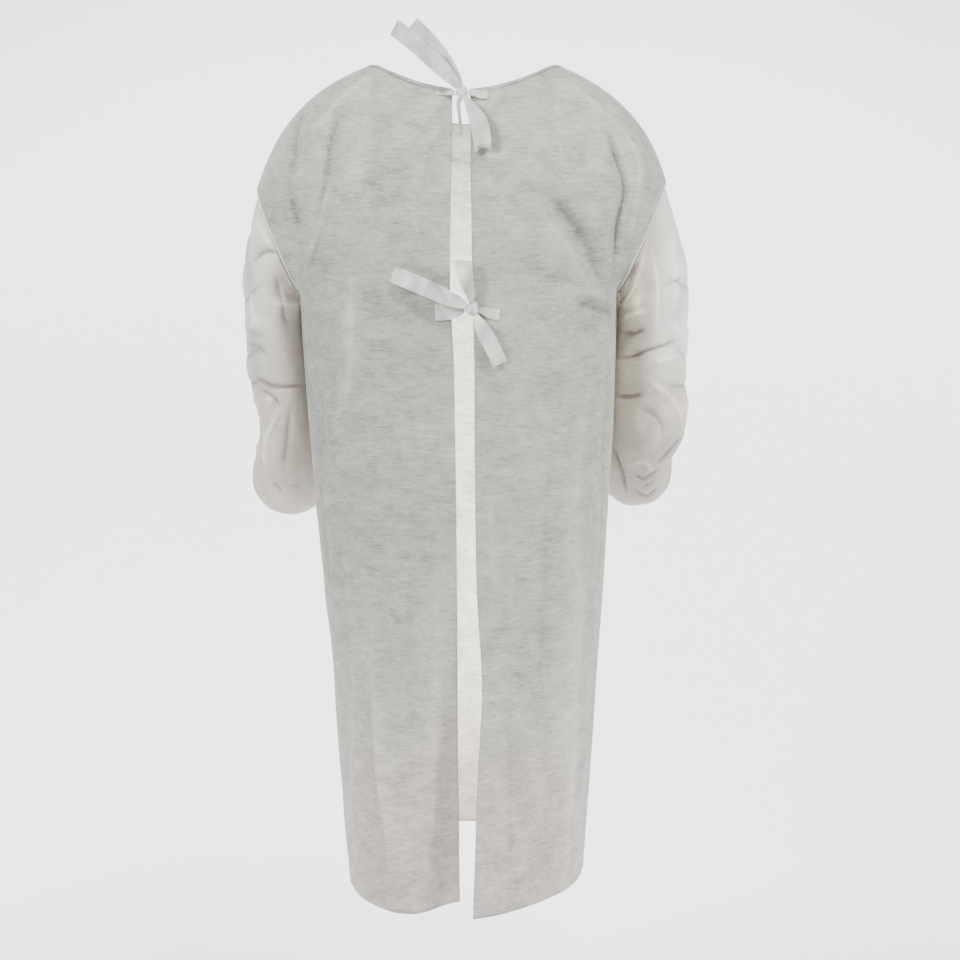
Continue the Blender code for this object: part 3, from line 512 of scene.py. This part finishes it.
def gathers(side, points):
    """The elastic's small uneven waves round a wrist, from -1 to 1, dying away up the arm."""
    gown = bpy.context.scene.gown_cloth
    centre, arm, across, over = wrist(side)
    offset = points - centre
    turn = np.arctan2(offset @ over, offset @ across)
    uneven = 1 + 0.4 * np.sin(3 * turn + 1.0) * np.sin(5 * turn)
    waves_round = np.sin(gown.gathers * turn + 1.5 * np.sin(2 * turn)) * uneven
    return waves_round * (1 - smooth_step(0.0, gown.gather_reach, offset @ arm))


def painted_light_share(node, points):
    """Painted light: where the cloth is painted paler, as if more light fell there: the hem and the
    shoulders, and the outer side of the sleeves.
    """
    across, height = np.abs(points[:, 0]), points[:, 2]
    if node in SLEEVES:
        outer, upper = smooth_step(*OUTER_FADE, across), smooth_step(*UPPER_FADE, height)
        return outer * (0.30 + 0.70 * upper) + 0.30 * smooth_step(*WRIST_FADE, height) * (1 - outer)
    return smooth_step(*HEM_FADE, height) + 0.35 * smooth_step(*SHOULDER_FADE, height)


def add_piece(name, mesh, material):
    """A new piece that rides on the gown."""
    mesh.name = name
    mesh.materials.clear()
    mesh.materials.append(material)
    piece = bpy.data.objects.new(name, mesh)
    bpy.context.scene.collection.objects.link(piece)
    mesh.shade_smooth()
    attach(piece, "root")
    return piece


def cloth_piece(node, seed, slot, crumples, depth, inner=None):
    """A sheet on its CAD solid's outer face, with its creases and crumples, and a thin wall.

    The side of a sleeve that lies towards the body, in the inner direction, keeps its form.
    """
    gown = bpy.context.scene.gown_cloth
    mesh = subdivided(outer_layer(node), gown.fineness)
    points, normals = points_of(mesh), normals_of(mesh)
    hold = gown.seam_hold * (SLEEVE_HOLD if node in SLEEVES else 1.0)
    free = smooth_step(0.0, hold, distance_to(points, sewn_edge(mesh, node)))
    rise = gown.ripple_height * waves(points, gown.ripple_size, seed + 5)
    for number, (size, height) in enumerate(crumples):
        rise += height * crumple(points, size, seed + 3 * number)
    if inner:
        rise *= 1 - smooth_step(*INNER_FACING, normals @ np.array(inner, float))
    uneven = 1 + UNEVEN * waves(points, UNEVEN_SIZE, seed + 9)
    if node in SLEEVES:
        rise += gown.gather_height * gathers(node[7:], points)
    line = np.zeros(len(points))
    for seen, creases in CREASES[node].items():
        view = np.array(SEEN_FROM[seen], float)
        places = points[:, [1, 2]] if view[0] else points[:, [0, 2]]
        facing = smooth_step(*FACING, normals @ view)
        for crease in creases:
            lift, edge = crease_lift(crease, places)
            rise += facing * lift * uneven * depth * (SIDE_DEPTH if view[0] else 1.0)
            line += facing * edge * min(1.0, abs(crease.rise) / FULL_LINE)
    rise *= free
    points += (rise - gown.inset)[:, None] * normals
    move_to(mesh, points)
    # Painted shade and highlight: the fold attribute darkens the cloth in valleys and lightens it on
    # ridges, from each crease's rise and its edge line.
    line *= SLEEVE_LINE if node in SLEEVES else BODY_LINE
    paint(mesh, "fold", np.clip(RISE_SHADE * rise / gown.fold_shade + line, -1, 1))
    # Painted light: this share makes the cloth paler at the hem, the shoulders and the sleeves' outer
    # side, where light falls.
    paint(mesh, "painted_light", painted_light_share(node, points))
    piece = add_piece(f"{node}_cloth", mesh, gown_material(slot))
    wall = piece.modifiers.new("wall", "SOLIDIFY")
    wall.thickness = gown.wall
    wall.offset = -1.0
    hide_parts(node)


def whole_piece(node, name, slot, crumples, seed, corners=True):
    """A finer copy of a whole CAD solid with crisp corners, crumpled across its width."""
    source = merged_copy(node)
    to_quads(source)
    crisp = source.edges.layers.float.new("crease_edge")
    for edge in source.edges:
        if corners and len(edge.link_faces) == 2 and edge.calc_face_angle() > CORNER:
            edge[crisp] = 1.0
    mesh = subdivided(source, LEVELS)
    points = points_of(mesh)
    rise = sum(
        height * crumple(points * [1.0, 0.0, 1.0], size, seed + 2 * number)
        for number, (size, height) in enumerate(crumples)
    )
    # Painted shade and highlight: the crumples' valleys are painted darker and their ridges lighter.
    paint(mesh, "fold", np.clip(rise / sum(height for size, height in crumples), -1, 1))
    points[:, 1] += rise
    move_to(mesh, points)
    piece = add_piece(name, mesh, gown_material(slot))
    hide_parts(node)
    return piece


class Signal:
    """A socket in a material's node tree that Python's arithmetic works on."""

    def __init__(self, tree, socket=None):
        self.tree, self.socket = tree, socket

    def node(self, kind, settings=None, sockets=None, output=0):
        """A new node: first its settings, then the values or links of its sockets."""
        made = self.tree.nodes.new(kind)
        for name, value in (settings or {}).items():
            setattr(made, name, value)
        for key, value in (sockets or {}).items():
            if isinstance(value, Signal):
                self.tree.links.new(value.socket, made.inputs[key])
            else:
                made.inputs[key].default_value = value
        return Signal(self.tree, made.outputs[output])

    def feeds(self, socket):
        self.tree.links.new(self.socket, socket)

    def maths(self, operation, *values):
        return self.node("ShaderNodeMath", {"operation": operation}, dict(enumerate(values)))

    def __add__(self, other):
        return self.maths("ADD", self, other)

    def __sub__(self, other):
        return self.maths("SUBTRACT", self, other)

    def __rsub__(self, other):
        return self.maths("SUBTRACT", other, self)

    def __mul__(self, other):
        return self.maths("MULTIPLY", self, other)

    __radd__, __rmul__ = __add__, __mul__

    def stretched(self, x, y, z):
        return self.node("ShaderNodeVectorMath", {"operation": "MULTIPLY"}, {0: self, 1: (x, y, z)})

    def grain(self, scale, detail, roughness):
        """Noise at this place, from 0 to 1."""
        sockets = {"Vector": self, "Scale": scale, "Detail": detail, "Roughness": roughness}
        return self.node("ShaderNodeTexNoise", {}, sockets)

    def between(self, low, high):
        """0 below low and 1 above high, with a soft change."""
        sockets = {"Value": self, "From Min": low, "From Max": high}
        return self.node("ShaderNodeMapRange", {"interpolation_type": "SMOOTHSTEP"}, sockets)

    def blend(self, first, second):
        """A colour between two, by this signal."""
        sockets = {MIX_FACTOR: self, MIX_A: first, MIX_B: second}
        return self.node("ShaderNodeMix", {"data_type": "RGBA"}, sockets, MIX_RESULT)

    def shaded(self, colour):
        """A colour made lighter or darker by this signal."""
        grey = self.node("ShaderNodeCombineColor", {}, {0: self, 1: self, 2: self})
        settings = {"data_type": "RGBA", "blend_type": "MULTIPLY"}
        sockets = {MIX_FACTOR: 1.0, MIX_A: colour, MIX_B: grey}
        return self.node("ShaderNodeMix", settings, sockets, MIX_RESULT)

    def bump(self, strength, distance, **normal):
        """The normal of a surface with this signal as its height."""
        sockets = {"Strength": strength, "Distance": distance, "Height": self, **normal}
        return self.node("ShaderNodeBump", {}, sockets)


def new_material(name):
    """A new material, its shader, and a signal of the place on the piece."""
    made = bpy.data.materials.new(name)
    made.use_nodes = True
    place = Signal(made.node_tree).node("ShaderNodeTexCoord", output="Object")
    return made, made.node_tree.nodes["Principled BSDF"], place


def nonwoven(name, colour, painted_light_colour, finish):
    """Spunbond nonwoven: fine fibres that run round the piece, cloudy thickness, a dull sheen."""
    made, shader, place = new_material(name)
    painted_fold_shade = place.node("ShaderNodeAttribute", {"attribute_name": "fold"}, output="Fac")
    painted_light = place.node("ShaderNodeAttribute", {"attribute_name": "painted_light"}, output="Fac")
    fibres = place.stretched(*FIBRES).grain(1.0, 3.0, 0.6)
    threads = place.stretched(*THREADS).grain(1.0, 2.0, 0.5)
    flecks = place.stretched(*FLECKS).grain(1.0, 3.0, 0.6)
    clouds = place.stretched(1.0, 1.0, 1.5).grain(CLOUDS, 4.0, 0.62)
    fuzz = place.grain(FUZZ, 2.0, 0.5)
    rumples = place.stretched(1.0, 1.0, 1.6).grain(RUMPLES, 2.0, 0.5)
    tone = 1.0 + finish.streaks * (fibres + threads * 0.6 - 0.8) + finish.mottling * (clouds - 0.5)
    # Painted shade in the folds' valleys and painted highlight on their ridges, by the fold attribute.
    tone = tone + finish.mottling * 0.6 * (flecks - 0.5) + painted_fold_shade * finish.shade
    # Painted light: the colour turns paler where the share of painted light is high.
    shown = tone.shaded(painted_light.blend((*colour, 1.0), (*painted_light_colour, 1.0)))
    shown.feeds(shader.inputs["Base Color"])
    (0.78 + 0.12 * fibres).feeds(shader.inputs["Roughness"])
    rumpled = place.maths("ABSOLUTE", rumples - 0.5).bump(finish.crumple, 0.004)
    weave = fibres * 0.5 + threads * 0.3 + fuzz * 0.35
    weave.bump(0.35, 0.0004, Normal=rumpled).feeds(shader.inputs["Normal"])
    shader.inputs["Sheen Weight"].default_value = 0.15
    shader.inputs["Sheen Roughness"].default_value = 0.5
    shader.inputs["Specular IOR Level"].default_value = 0.25
    return made


def gown_material(kind):
    """The gown's finish of a kind, made once."""
    made = bpy.data.materials.get(f"gown_{kind}")
    if made:
        return made
    cloth = bpy.context.scene.gown_cloth
    # Each kind's own colour, and the paler colour painted where light falls; the seams take the cloth's
    # paler colour all over.
    colours = {
        "cloth": (cloth.cloth_colour, cloth.cloth_painted_light_and_seam_colour),
        "sleeve": (cloth.sleeve_colour, cloth.sleeve_painted_light_colour),
        "tie": (cloth.tie_colour, cloth.tie_colour),
        "seam": (cloth.cloth_painted_light_and_seam_colour, cloth.cloth_painted_light_and_seam_colour),
    }
    return nonwoven(f"gown_{kind}", *colours[kind], FINISHES[kind])


def thread_material():
    """A pale sewing thread with a fine twist."""
    made, shader, place = new_material("gown_thread")
    twist = place.stretched(900.0, 900.0, 2600.0).grain(1.0, 2.0, 0.5)
    shown = (0.9 + 0.2 * twist).shaded((*bpy.context.scene.gown_seams.thread_colour, 1.0))
    shown.feeds(shader.inputs["Base Color"])
    twist.bump(0.4, 0.0002).feeds(shader.inputs["Normal"])
    shader.inputs["Roughness"].default_value = 0.6
    return made


def round_length(loop):
    return sum((one - other).length for one, other in zip(loop, loop[1:] + loop[:1]))


def longest_edge(mesh):
    """The longest closed loop of points along a sheet's open edges."""
    near = {}
    for one, other in open_keys(mesh):
        near.setdefault(one, []).append(other)
        near.setdefault(other, []).append(one)
    loops = []
    while near:
        loop, here = [], next(iter(near))
        while here is not None:
            loop.append(here)
            ahead = [other for other in near.pop(here) if other in near]
            here = ahead[0] if ahead else None
        loops.append([mesh.vertices[index].co.copy() for index in loop])
    return max(loops, key=round_length)


def sewn_runs(cloth, node):
    """The stretches of a cloth's edge that are sewn to a CAD node, and whether each is closed."""
    loop, reach = longest_edge(cloth.data), bpy.context.scene.gown_seams.reach
    source = merged_copy(node)
    surface = BVHTree.FromBMesh(source)
    source.free()
    close = [surface.find_nearest(point, reach)[0] is not None for point in loop]
    if all(close):
        return [(loop, True)]
    first = close.index(False)
    loop, close = loop[first:] + loop[:first], close[first:] + close[:first]
    runs, run = [], []
    for point, is_close in zip(loop + loop[:1], close + [False]):
        if is_close:
            run.append(point)
        elif run:
            runs.append((run, False))
            run = []
    return [(run, closed) for run, closed in runs if len(run) > SHORTEST_RUN]


def ridge(name, points, closed, material):
    """A sewn ridge: a thin round strip along a seam."""
    curve = bpy.data.curves.new(name, "CURVE")
    curve.dimensions = "3D"
    curve.bevel_depth, curve.bevel_resolution = bpy.context.scene.gown_seams.cord_radius, 2
    curve.use_fill_caps = True
    spline = curve.splines.new("POLY")
    spline.points.add(len(points) - 1)
    for point, place in zip(spline.points, points):
        point.co = (*place, 1.0)
    spline.use_cyclic_u = closed
    mesh = finished(bpy.data.objects.new(name, curve))
    bpy.data.curves.remove(curve)
    add_piece(name, mesh, material)


def face_of(piece):
    """The faces of a piece's own mesh, to lay a thread on."""
    mesh = piece.data
    return BVHTree.FromPolygons([v.co for v in mesh.vertices], [p.vertices for p in mesh.polygons])


def bead():
    """The corners and faces of a small sphere, in the same order each run."""
    top, foot = Vector((0, 0, 1)), Vector((0, 0, -1))
    tilts = np.linspace(0, math.pi, STITCH_ROWS + 1)[1:-1]
    turns = np.linspace(0, 2 * math.pi, STITCH_SIDES, endpoint=False)
    corners = [Euler((tilt, 0, turn)).to_matrix() @ top for tilt in tilts for turn in turns]
    rings, faces = np.arange(len(corners)).reshape(len(tilts), len(turns)), []
    for here, ahead in zip(rings.T.tolist(), np.roll(rings, -1, axis=1).T.tolist()):
        faces += zip(here, here[1:], ahead[1:], ahead)
        faces += [(len(corners), here[0], ahead[0]), (len(corners) + 1, ahead[-1], here[-1])]
    return [*corners, top, foot], faces


def stitches(name, line):
    """A row of stitches along a line on the cloth."""
    seams = bpy.context.scene.gown_seams
    shape = Matrix.Diagonal((seams.stitch_radius, seams.stitch_radius, seams.stitch_length / 2, 1.0))
    corners, faces = bead()
    points, sides, gone, due = [], [], 0.0, seams.stitch_pitch
    for one, other in zip(line, line[1:]):
        run = other - one
        if run.length > STITCH_JUMP:
            continue
        while due < gone + run.length:
            place = Matrix.Translation(one + run * ((due - gone) / run.length))
            turn = run.to_track_quat("Z", "Y").to_matrix().to_4x4()
            sides += [[corner + len(points) for corner in face] for face in faces]
            points += [place @ turn @ shape @ corner for corner in corners]
            due += seams.stitch_pitch
        gone += run.length
    data = bpy.data.meshes.new(name)
    data.from_pydata(points, [], sides)
    add_piece(name, data, bpy.data.materials["gown_thread"])


def binding_line(run, cloth, binding):
    """A line along the middle of the binding's outer face, by a stretch of a cloth's neck edge."""
    source = points_of(binding.data)
    tree, face, line = face_of(cloth), face_of(binding), []
    for point in run:
        outward = tree.find_nearest(point)[1]
        near = source[np.linalg.norm(source - np.array(point), axis=1) < BINDING_REACH]
        if len(near):
            middle = Vector(near.mean(axis=0))
            hit = face.ray_cast(middle + 0.015 * outward, -outward, 0.03)[0]
            if hit:
                line.append(hit + THREAD_LIFT * outward)
    return line


def wrist_line(side, offset, face):
    """A line round a cuff's outer face, an offset up the arm from its middle."""
    centre, arm, across, over = (Vector(value) for value in wrist(side))
    line = []
    for degree in range(0, 363, 3):
        turn = math.radians(degree)
        outward = across * math.cos(turn) + over * math.sin(turn)
        hit = face.ray_cast(centre + offset * arm + 0.09 * outward, -outward)[0]
        if hit:
            line.append(hit + THREAD_LIFT * outward)
    return line


def tie_line(node, face, inward):
    """A line across a tie's sewn end, an inward distance from its outer edge."""
    low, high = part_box(node)
    x = high.x - inward if high.x + low.x > 0 else low.x + inward
    heights = np.arange(low.z, high.z, 0.0005)
    hits = [face.ray_cast(Vector((x, 1.0, z)), Vector((0, -1, 0)))[0] for z in heights]
    return [hit + Vector((0, THREAD_LIFT, 0)) for hit in hits if hit][3:-3]


def length_property(name, description, default):
    return FloatProperty(name=name, description=description, default=default, unit="LENGTH")


def power_property(name, description, default):
    return FloatProperty(name=name, description=description, default=default, unit="POWER")


def number_property(name, description, default):
    return FloatProperty(name=name, description=description, default=default)


def colour_property(name, description, default):
    return FloatVectorProperty(name=name, description=description, default=default, subtype="COLOR")


class ClothSettings(bpy.types.PropertyGroup):
    """The gown's cloth."""

    wall: length_property("Cloth thickness", "Thickness of the nonwoven", 0.0006)
    inset: length_property("Inset", "How far the cloth lies inside its solid's face", 0.0003)
    fineness: IntProperty(
        name="Fineness", description="How often the cloth's mesh is subdivided", default=3, min=1, max=4
    )
    body_depth: number_property("Body creases", "How deep the body's creases are", 2.0)
    sleeve_depth: number_property("Sleeve creases", "How deep the sleeves' creases are", 1.3)
    seam_hold: length_property("Seam hold", "How far from a seam the folds start", 0.010)
    gathers: IntProperty(name="Gathers", description="Number of gathers round a wrist", default=24)
    gather_height: length_property("Gather height", "Height of a gather at the wrist", 0.0013)
    gather_reach: length_property("Gather reach", "How far up the arm the gathers run", 0.055)
    # painted shade: a fold of this rise is painted fully darker in a valley and fully lighter on a ridge
    fold_shade: length_property("Fold shade", "Rise of a fold that is shaded in full", 0.006)
    ripple_height: length_property("Ripple height", "Height of the small ripples", 0.0005)
    ripple_size: length_property("Ripple size", "Width of the small ripples", 0.026)
    cloth_colour: colour_property("Cloth", "Colour of the front and backs", (0.39, 0.405, 0.36))
    # painted light: the colours that the cloth and the sleeves are painted towards where light falls;
    # the seams take the first all over
    cloth_painted_light_and_seam_colour: colour_property("Pale cloth", "Colour at the hem", (0.53, 0.49, 0.45))
    sleeve_colour: colour_property("Sleeves", "Colour of the sleeves", (0.59, 0.525, 0.455))
    sleeve_painted_light_colour: colour_property("Pale sleeves", "Colour of their outer side", (0.80, 0.79, 0.73))
    tie_colour: colour_property("Ties", "Colour of the ties", (0.66, 0.65, 0.62))


class SeamSettings(bpy.types.PropertyGroup):
    """The gown's seams and stitches."""

    reach: length_property("Seam reach", "Two cloths this near are sewn", 0.004)
    cord_radius: length_property("Seam radius", "Radius of the sewn ridge", 0.0011)
    stitch_length: length_property("Stitch length", "Length of one stitch", 0.0024)
    stitch_pitch: length_property("Stitch pitch", "From one stitch to the next", 0.0034)
    stitch_radius: length_property("Thread radius", "Radius of the thread", 0.00022)
    thread_colour: colour_property("Thread", "Colour of the thread", (0.85, 0.85, 0.82))


class StudioSettings(bpy.types.PropertyGroup):
    """The floor, the lights and the camera."""

    floor_z: length_property("Floor height", "Height of the floor", -1.62)
    radius: length_property("Studio radius", "Radius of the round studio", 5.5)
    floor_colour: colour_property("Floor", "Colour of the floor", (0.8, 0.8, 0.8))
    floor_glow: number_property("Floor glow", "Light that the floor gives off", 2.3)
    top_watts: power_property("Top light", "Power of the light from above", 110.0)
    side_watts: power_property("Side light", "Power of the light from the side", 68.0)
    fill_watts: power_property("Fill light", "Power of the fill light", 84.0)
    front_watts: power_property("Front light", "Power of the light on the front", 55.0)
    inside_watts: power_property("Inside light", "Power of the light in the gown", 6.0)
    sky: number_property("Sky", "Strength of the light all round", 0.04)
    lens: FloatProperty(name="Lens", description="Focal length", default=63.0, unit="CAMERA")


class GOWN_OT_panels(bpy.types.Operator):
    """Lay the front and the two backs"""

    bl_idname = "gown.panels"
    bl_label = "Front and Backs"

    def execute(self, context):
        depth = context.scene.gown_cloth.body_depth
        for seed, node in enumerate(PANELS, start=3):
            cloth_piece(node, 7.0 * seed, "cloth", BODY_CRUMPLES, depth)
        return {"FINISHED"}


class GOWN_OT_sleeves(bpy.types.Operator):
    """Lay the two sleeves"""

    bl_idname = "gown.sleeves"
    bl_label = "Sleeves"

    def execute(self, context):
        depth = context.scene.gown_cloth.sleeve_depth
        for seed, node in enumerate(SLEEVES, start=11):
            inner = (-1, 0, 0) if node == "sleeve_left" else (1, 0, 0)
            cloth_piece(node, 7.0 * seed, "sleeve", SLEEVE_CRUMPLES, depth, inner)
        return {"FINISHED"}


class GOWN_OT_cuffs(bpy.types.Operator):
    """Gather the elastic cuffs"""

    bl_idname = "gown.cuffs"
    bl_label = "Elastic Cuffs"

    def execute(self, context):
        for node in CUFFS:
            piece = whole_piece(node, f"{node}_cloth", "sleeve", CUFF_CRUMPLES, 2.0, corners=False)
            points = points_of(piece.data)
            rise = context.scene.gown_cloth.gather_height * gathers(node[5:], points)
            move_to(piece.data, points + rise[:, None] * normals_of(piece.data))
        return {"FINISHED"}


class GOWN_OT_binding(bpy.types.Operator):
    """Bind the neckline"""

    bl_idname = "gown.binding"
    bl_label = "Neck Binding"

    def execute(self, context):
        piece = whole_piece("neck_binding", "neck_binding_strip", "cloth", BINDING_CRUMPLES, 4.0)
        return {"FINISHED"}


class GOWN_OT_ties(bpy.types.Operator):
    """Tie the bows at the neck and the back"""

    bl_idname = "gown.ties"
    bl_label = "Ties and Knots"

    def execute(self, context):
        for seed, node in enumerate(KNOTS):
            piece = whole_piece(node, f"{node}_wrap", "tie", KNOT_CRUMPLES, 3.0 + seed)
        for seed, node in enumerate(TIES):
            piece = whole_piece(node, f"{node}_strip", "tie", TIE_CRUMPLES, 20.0 + seed)
        return {"FINISHED"}


class GOWN_OT_seams(bpy.types.Operator):
    """Sew the armholes, the shoulders and the sides"""

    bl_idname = "gown.seams"
    bl_label = "Seams"

    def execute(self, context):
        finish = {"sleeve": thread_material(), "cloth": gown_material("seam")}
        for side in SIDES:
            joins = (
                ("armhole_back", f"back_{side}", f"sleeve_{side}", "sleeve"),
                ("armhole_front", "front", f"sleeve_{side}", "sleeve"),
                ("seam", f"back_{side}", "front", "cloth"),
            )
            for name, cloth, other, slot in joins:
                runs = sewn_runs(context.scene.objects[f"{cloth}_cloth"], other)
                for count, (run, closed) in enumerate(runs, start=1):
                    ridge(f"{name}_{side}_{count}", run, closed, finish[slot])
        return {"FINISHED"}


class GOWN_OT_stitches(bpy.types.Operator):
    """Stitch the binding, the cuffs and the sewn ends of the back ties"""

    bl_idname = "gown.stitches"
    bl_label = "Stitches"

    def execute(self, context):
        pieces = context.scene.objects
        binding = pieces["neck_binding_strip"]
        for node in PANELS:
            cloth = pieces[f"{node}_cloth"]
            for count, (run, _) in enumerate(sewn_runs(cloth, "neck_binding"), start=1):
                line = binding_line(run, cloth, binding)
                stitches(f"binding_stitches_{node}_{count}", line)
        for side in SIDES:
            face = face_of(pieces[f"cuff_{side}_cloth"])
            for row, offset in WRIST_ROWS:
                stitches(f"cuff_stitches_{side}_{row}", wrist_line(side, offset, face))
            node = f"back_tie_end_{side}"
            face = face_of(pieces[f"{node}_strip"])
            for row, inward in TIE_ROWS:
                stitches(f"tie_stitches_{side}_{row}", tie_line(node, face, inward))
        return {"FINISHED"}


def add_lamp(name, shape, sizes, watts, place, turn):
    light = bpy.data.lights.new(name, "AREA")
    light.shape, light.energy = shape, watts
    light.size, light.size_y = sizes
    lamp = bpy.data.objects.new(name, light)
    lamp.location, lamp.rotation_euler = place, turn
    lamp.visible_camera = False
    bpy.context.scene.collection.objects.link(lamp)


class GOWN_OT_stage(bpy.types.Operator):
    """Set the studio: floor, lights and camera"""

    bl_idname = "gown.stage"
    bl_label = "Studio"

    def execute(self, context):
        studio, scene = context.scene.gown_studio, context.scene
        mesh = bmesh.new()
        line = [mesh.verts.new((studio.radius * x, 0.0, studio.floor_z + z)) for x, z in STUDIO_PROFILE]
        edges = [mesh.edges.new(pair) for pair in zip(line, line[1:])]
        bmesh.ops.spin(
            mesh, geom=line + edges, cent=(0, 0, 0), axis=(0, 0, 1), angle=2 * math.pi, steps=32,
            use_merge=True,
        )
        bmesh.ops.remove_doubles(mesh, verts=mesh.verts, dist=MERGE)
        data = bpy.data.meshes.new("studio_floor")
        mesh.to_mesh(data)
        mesh.free()
        data.shade_smooth()
        floor = bpy.data.objects.new("studio_floor", data)
        scene.collection.objects.link(floor)
        smooth = floor.modifiers.new("smooth", "SUBSURF")
        smooth.levels = smooth.render_levels = 2
        made, shader, place = new_material("studio_paint")
        middle = {0: place, 1: (0.0, GLOW_Y, studio.floor_z)}
        away = place.node("ShaderNodeVectorMath", {"operation": "DISTANCE"}, middle, "Value")
        bright = away.between(*GLOW_REACH).blend((0.0, 0.0, 0.0, 1.0), (1.0, 1.0, 1.0, 1.0))
        bright.feeds(shader.inputs["Emission Color"])
        shader.inputs["Emission Strength"].default_value = studio.floor_glow
        shader.inputs["Base Color"].default_value = (*studio.floor_colour, 1.0)
        shader.inputs["Roughness"].default_value = 0.9
        data.materials.append(made)
        lamps = (
            ("top", (-0.8, 1.9, 2.6), 0.5, studio.top_watts),
            ("side", (-2.9, 1.2, 0.5), 0.5, studio.side_watts),
            ("fill", (2.0, 2.2, 1.1), 0.7, studio.fill_watts),
            ("front", (1.9, -2.2, 1.6), 0.6, studio.front_watts),
        )
        for name, spot, size, watts in lamps:
            turn = (LAMPS_AIM - Vector(spot)).to_track_quat("-Z", "Y").to_euler()
            add_lamp(name, "DISK", (size, size), watts, spot, turn)
        turn = Euler((math.radians(-90), 0, 0))
        add_lamp("inside", "RECTANGLE", INSIDE_SIZE, studio.inside_watts, INSIDE_PLACE, turn)
        world = bpy.data.worlds.new("studio_sky")
        world.use_nodes = True
        sky = world.node_tree.nodes["Background"]
        sky.inputs["Color"].default_value = (1.0, 1.0, 1.0, 1.0)
        sky.inputs["Strength"].default_value = studio.sky
        scene.world = world
        camera = bpy.data.cameras.new("camera")
        camera.lens = studio.lens
        eye = bpy.data.objects.new("camera", camera)
        eye.location = CAMERA_PLACE
        eye.rotation_euler = Euler((CAMERA_TILT, 0, math.pi))
        scene.collection.objects.link(eye)
        scene.camera = eye
        return {"FINISHED"}


OPERATORS = (
    GOWN_OT_stage, GOWN_OT_panels, GOWN_OT_sleeves, GOWN_OT_cuffs, GOWN_OT_binding, GOWN_OT_ties,
    GOWN_OT_seams, GOWN_OT_stitches,
)


class GOWN_PT_sidebar(bpy.types.Panel):
    """The gown's pieces and sizes"""

    bl_idname = "GOWN_PT_sidebar"
    bl_label = "Isolation Gown"
    bl_space_type = "VIEW_3D"
    bl_region_type = "UI"
    bl_category = "Gown"

    def draw(self, context):
        scene = context.scene
        for settings in (scene.gown_cloth, scene.gown_seams, scene.gown_studio):
            box = self.layout.box()
            for name in settings.__annotations__:
                box.prop(settings, name)
        for operator in OPERATORS:
            self.layout.operator(operator.bl_idname)


CLASSES = (ClothSettings, SeamSettings, StudioSettings, *OPERATORS, GOWN_PT_sidebar)


def register():
    for each in CLASSES:
        bpy.utils.register_class(each)
    bpy.types.Scene.gown_cloth = PointerProperty(type=ClothSettings)
    bpy.types.Scene.gown_seams = PointerProperty(type=SeamSettings)
    bpy.types.Scene.gown_studio = PointerProperty(type=StudioSettings)


def unregister():
    del bpy.types.Scene.gown_cloth, bpy.types.Scene.gown_seams, bpy.types.Scene.gown_studio
    for each in reversed(CLASSES):
        bpy.utils.unregister_class(each)


def main():
    register()
    for old in [item for item in bpy.data.objects if item.name in ("Cube", "Camera", "Light")]:
        bpy.data.objects.remove(old)
    bpy.ops.gown.stage()
    bpy.ops.gown.panels()
    bpy.ops.gown.sleeves()
    bpy.ops.gown.cuffs()
    bpy.ops.gown.binding()
    bpy.ops.gown.ties()
    bpy.ops.gown.seams()
    bpy.ops.gown.stitches()


if __name__ == "__main__":
    main()
